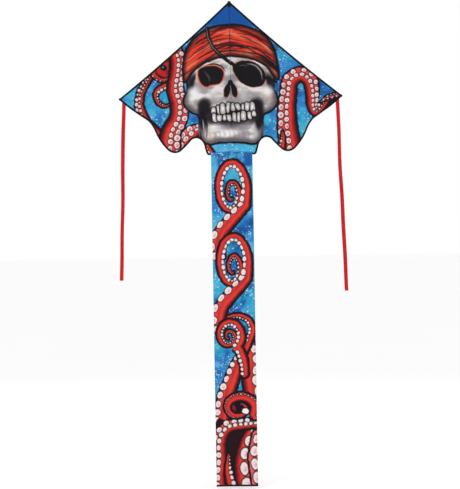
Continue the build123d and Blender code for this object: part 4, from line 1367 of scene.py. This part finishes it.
def printed_lap(name, x, drop, lift=0.0, flip=False):
    """A piece of the tail's lap, with its share of the tail's print."""
    lap = sheet_mesh(name, header_point(x, drop, lift), flip)
    add_colours(lap, paint_tail(*np.broadcast_arrays(x, drop - TAIL_TOP)))
    return dress(lap, "tail", "tail_print", "tail_header")


def make_tail():
    """The printed tail, its lap over the flap with a pleat in the middle, its hem, and their stitches."""
    x = np.linspace(-TAIL_HALF, TAIL_HALF, 100)
    # each side edge is turned under
    fold_x = np.array([TAIL_HALF + 0.35, TAIL_HALF - 0.2, TAIL_HALF - 2.5, TAIL_HALF - 6.0])
    fold_n = np.array([-0.3, -0.6, -0.65, -0.6])
    across = np.concatenate([-fold_x[::-1], x, fold_x])
    height = np.concatenate([fold_n[::-1], 0 * x, fold_n])
    drop = np.linspace(TAIL_TOP, TAIL_END, 850)[:, None]
    paint = paint_tail(*np.broadcast_arrays(across[None], drop - TAIL_TOP))
    panel = sheet_mesh("tail_cloth", tail_point(across[None], drop, height[None]), paint=paint)
    swing = lambda ob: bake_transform(ob)
    swing(dress(panel, "tail", "tail_print", "tail_panel"))
    others = []
    for side, name in SIDES:
        xs = side * np.linspace(1.5, TAIL_HALF + 0.35, 60)[None]
        lap = printed_lap(
            f"{name}_tail_lap", xs, np.linspace(LAP_TOP, TAIL_TOP, 34)[:, None], flip=side == LEFT
        )
        header_blend(lap)
        line = header_point(side * np.linspace(24.0, TAIL_HALF - 2.5, 60), LAP_ROW, 0.45)
        header_blend(sew(f"{name}_tail_lap_stitching", line, face_normal(side), LONG_ROW, "hem"))
        line = tail_point(side * (TAIL_HALF - 5.0), np.linspace(TAIL_TOP + 3, TAIL_END - 10, 900), 0.12)
        thread = sew(f"{name}_tail_side_stitching", line, FORWARD, THIN_ROW, "tape", "seam_tape")
        swing(thread)
        others += [lap, thread]
    # a pleat over the middle of the lap, which stays with the spine when the wings fold
    xs, d = np.linspace(-20.0, 20.0, 55)[None], np.linspace(LAP_TOP - 0.5, TAIL_TOP - 0.2, 34)[:, None]
    lift = 0.9 * smooth(TAIL_TOP, TAIL_TOP - 8, d) * smooth(20.6, 18.6, np.abs(xs)) + 0.15
    pleat = printed_lap("tail_lap_centre_pleat", xs, d, lift)
    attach(pleat, "frame")
    line = header_point(np.linspace(-17.0, 17.0, 40), LAP_ROW, 1.35)
    others += [pleat, sew("tail_lap_centre_stitching", line, FORWARD, LONG_ROW, "hem", body="frame")]
    x = np.linspace(-TAIL_HALF - 0.5, TAIL_HALF + 0.5, 90)
    profile = [
        (0.35, 2277.6), (0.75, 2279.5), (0.85, 2283.0), (0.55, 2285.5), (-0.2, 2286.3), (-1.0, 2285.6),
        (-1.35, 2283.0), (-1.3, 2279.5), (-0.95, 2277.6),
    ]
    hem = band("tail_end_hem", np.stack([tail_point(x, d, n) for n, d in profile], 1))
    dress(hem, "hem", "tail_hem", "tail_hem", body="tail")
    line = tail_point(np.linspace(-TAIL_HALF + 2, TAIL_HALF - 2, 90), 2279.2, 0.82)
    others += [hem, sew("tail_end_stitching", line, FORWARD, THIN_ROW, body="tail")]


make_tail()


# ------------------------------------------------------------------ streamers
def make_streamer(side, name, length, phase):
    """A long ribbon and the turned hem at its end."""
    base = float(billow(RIBBON_SPAN, -449.0)) + RIBBON_BACK

    def place(a, s, n):
        """Points a mm across the ribbon and s mm down it, n mm off its face."""
        free = smooth(10, 220, s)
        wave = free * (3.2 * np.sin(s / 118 + phase) + 1.5 * np.sin(s / 47 + 2 * phase))
        tilt = free * a * (0.10 * np.sin(s / 150 + phase * 1.7))
        curl = tilt + 0.012 * a**2 * np.sin(s / 83 + phase) * free
        u = RIBBON_SPAN + a + s * math.sin(SPLAY) + free * 1.6 * np.sin(s / 205 + phase)
        return wing(side, u, -RIBBON_TOP - s * math.cos(SPLAY), base + wave + curl + n)

    s = np.linspace(-2.2, length, int(length / 2.6))[:, None]
    across = np.array([-8.9, -9.6, -10.0, -9.7, -5.0, -2.0, 0.0, 2.0, 5.0, 9.7, 10.0, 9.6, 8.9])[None]
    height = np.array([-0.45, -0.45, -0.25] + [0.0] * 7 + [-0.25, -0.45, -0.45])[None]
    ribbon = sheet_mesh(f"{name}_ribbon_streamer", place(across, s, height), side == LEFT)
    dress(ribbon, "ribbon", "red_ribbon", f"{name}_streamer")
    start, end = (tuple(wing(side, RIBBON_SPAN, v, 0.0)) for v in (-450.0, -505.0))
    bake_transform(ribbon)
    profile = [(7.0, 0.22), (5.0, 0.42), (1.0, 0.42), (-0.3, -0.2), (1.0, -0.85), (5.0, -0.85), (7.0, -0.65)]
    x = 1.03 * np.linspace(-9.6, 9.6, 20)
    hem = band(f"{name}_streamer_end_hem", np.stack([place(x, length - up, n) for up, n in profile], 1))
    dress(hem, "ribbon", "red_ribbon", body=f"{name}_streamer")


make_streamer(LEFT, "left", 860.0, 0.4)
make_streamer(RIGHT, "right", 927.0, 2.1)


# ------------------------------------------------------------------ finishes for the CAD's own pieces
def hard_finish(node):
    """The finish of a CAD node, from its name."""
    if "eyelet" in node:
        return "brass"
    if node.endswith("_cap"):
        return "cap"
    return "vinyl" if "fitting" in node or "joint" in node else "rod"


for node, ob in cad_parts.items():
    if not ob.hide_render:
        ob.data.materials.clear()
        ob.data.materials.append(M[hard_finish(node)])


# ------------------------------------------------------------------ floor, light and camera
FLOOR_GAP = 0.012


def make_stage():
    """A pale floor just under the tail's end, a white surround and three soft lamps."""
    z, r = CAD_BOX[0][2] - FLOOR_GAP, 150.0
    me = bpy.data.meshes.new("floor")
    me.from_pydata([(-r, -r, z), (r, -r, z), (r, r, z), (-r, r, z)], [], [(0, 1, 2, 3)])
    n = Nodes("pale_floor", Roughness=0.9, Specular_IOR_Level=0.1)
    low, high = (0.955, 0.955, 0.955, 1.0), (0.975, 0.975, 0.975, 1.0)
    me.materials.append(n.finish(Base_Color=n.mix(n.noise(0.6, 2.0), low, high)))
    new_object("floor", me)
    world = bpy.data.worlds.new("studio")
    bpy.context.scene.world = world
    world.use_nodes = True
    back = world.node_tree.nodes["Background"]
    back.inputs["Color"].default_value = WHITE
    back.inputs["Strength"].default_value = 1.0
    make_lamp("key_light", (-2.6, -4.6, 2.6), 2.4, 45.0)
    make_lamp("fill_light", (3.2, -4.2, 0.4), 2.6, 10.0)
    make_lamp("back_light", (1.4, 4.6, 2.2), 2.4, 30.0)


def make_lamp(name, place, size, power):
    """A square lamp that faces the middle of the kite."""
    data = bpy.data.lights.new(name, "AREA")
    data.size, data.energy = size, power
    lamp = new_object(name, data)
    lamp.location = place
    lamp.rotation_euler = (Vector((0.0, 0.15, -0.6)) - Vector(place)).to_track_quat("-Z", "Y").to_euler()


def make_camera():
    """Square on to the kite from well in front, turned a degree, framed as the photograph is."""
    away, mm_per_pixel, picture_rows, roll, sensor = 8000.0, 4.703, 489, math.radians(1.0), 36.0
    data = bpy.data.cameras.new("camera")
    data.sensor_width = data.sensor_height = sensor
    data.lens = sensor * away / (mm_per_pixel * picture_rows)
    camera = new_object("camera", data)
    right = Vector((math.cos(roll), 0.0, -math.sin(roll)))
    up = Vector((math.sin(roll), 0.0, math.cos(roll)))
    m = Matrix((right, up, right.cross(up))).transposed().to_4x4()
    m.translation = Vector((-15.3, SEAM_Y - away, NOSE_Z - 1145.0)) * MM
    camera.matrix_world = m
    bpy.context.scene.camera = camera


make_stage()
make_camera()
bpy.context.scene.view_settings.view_transform = "Standard"
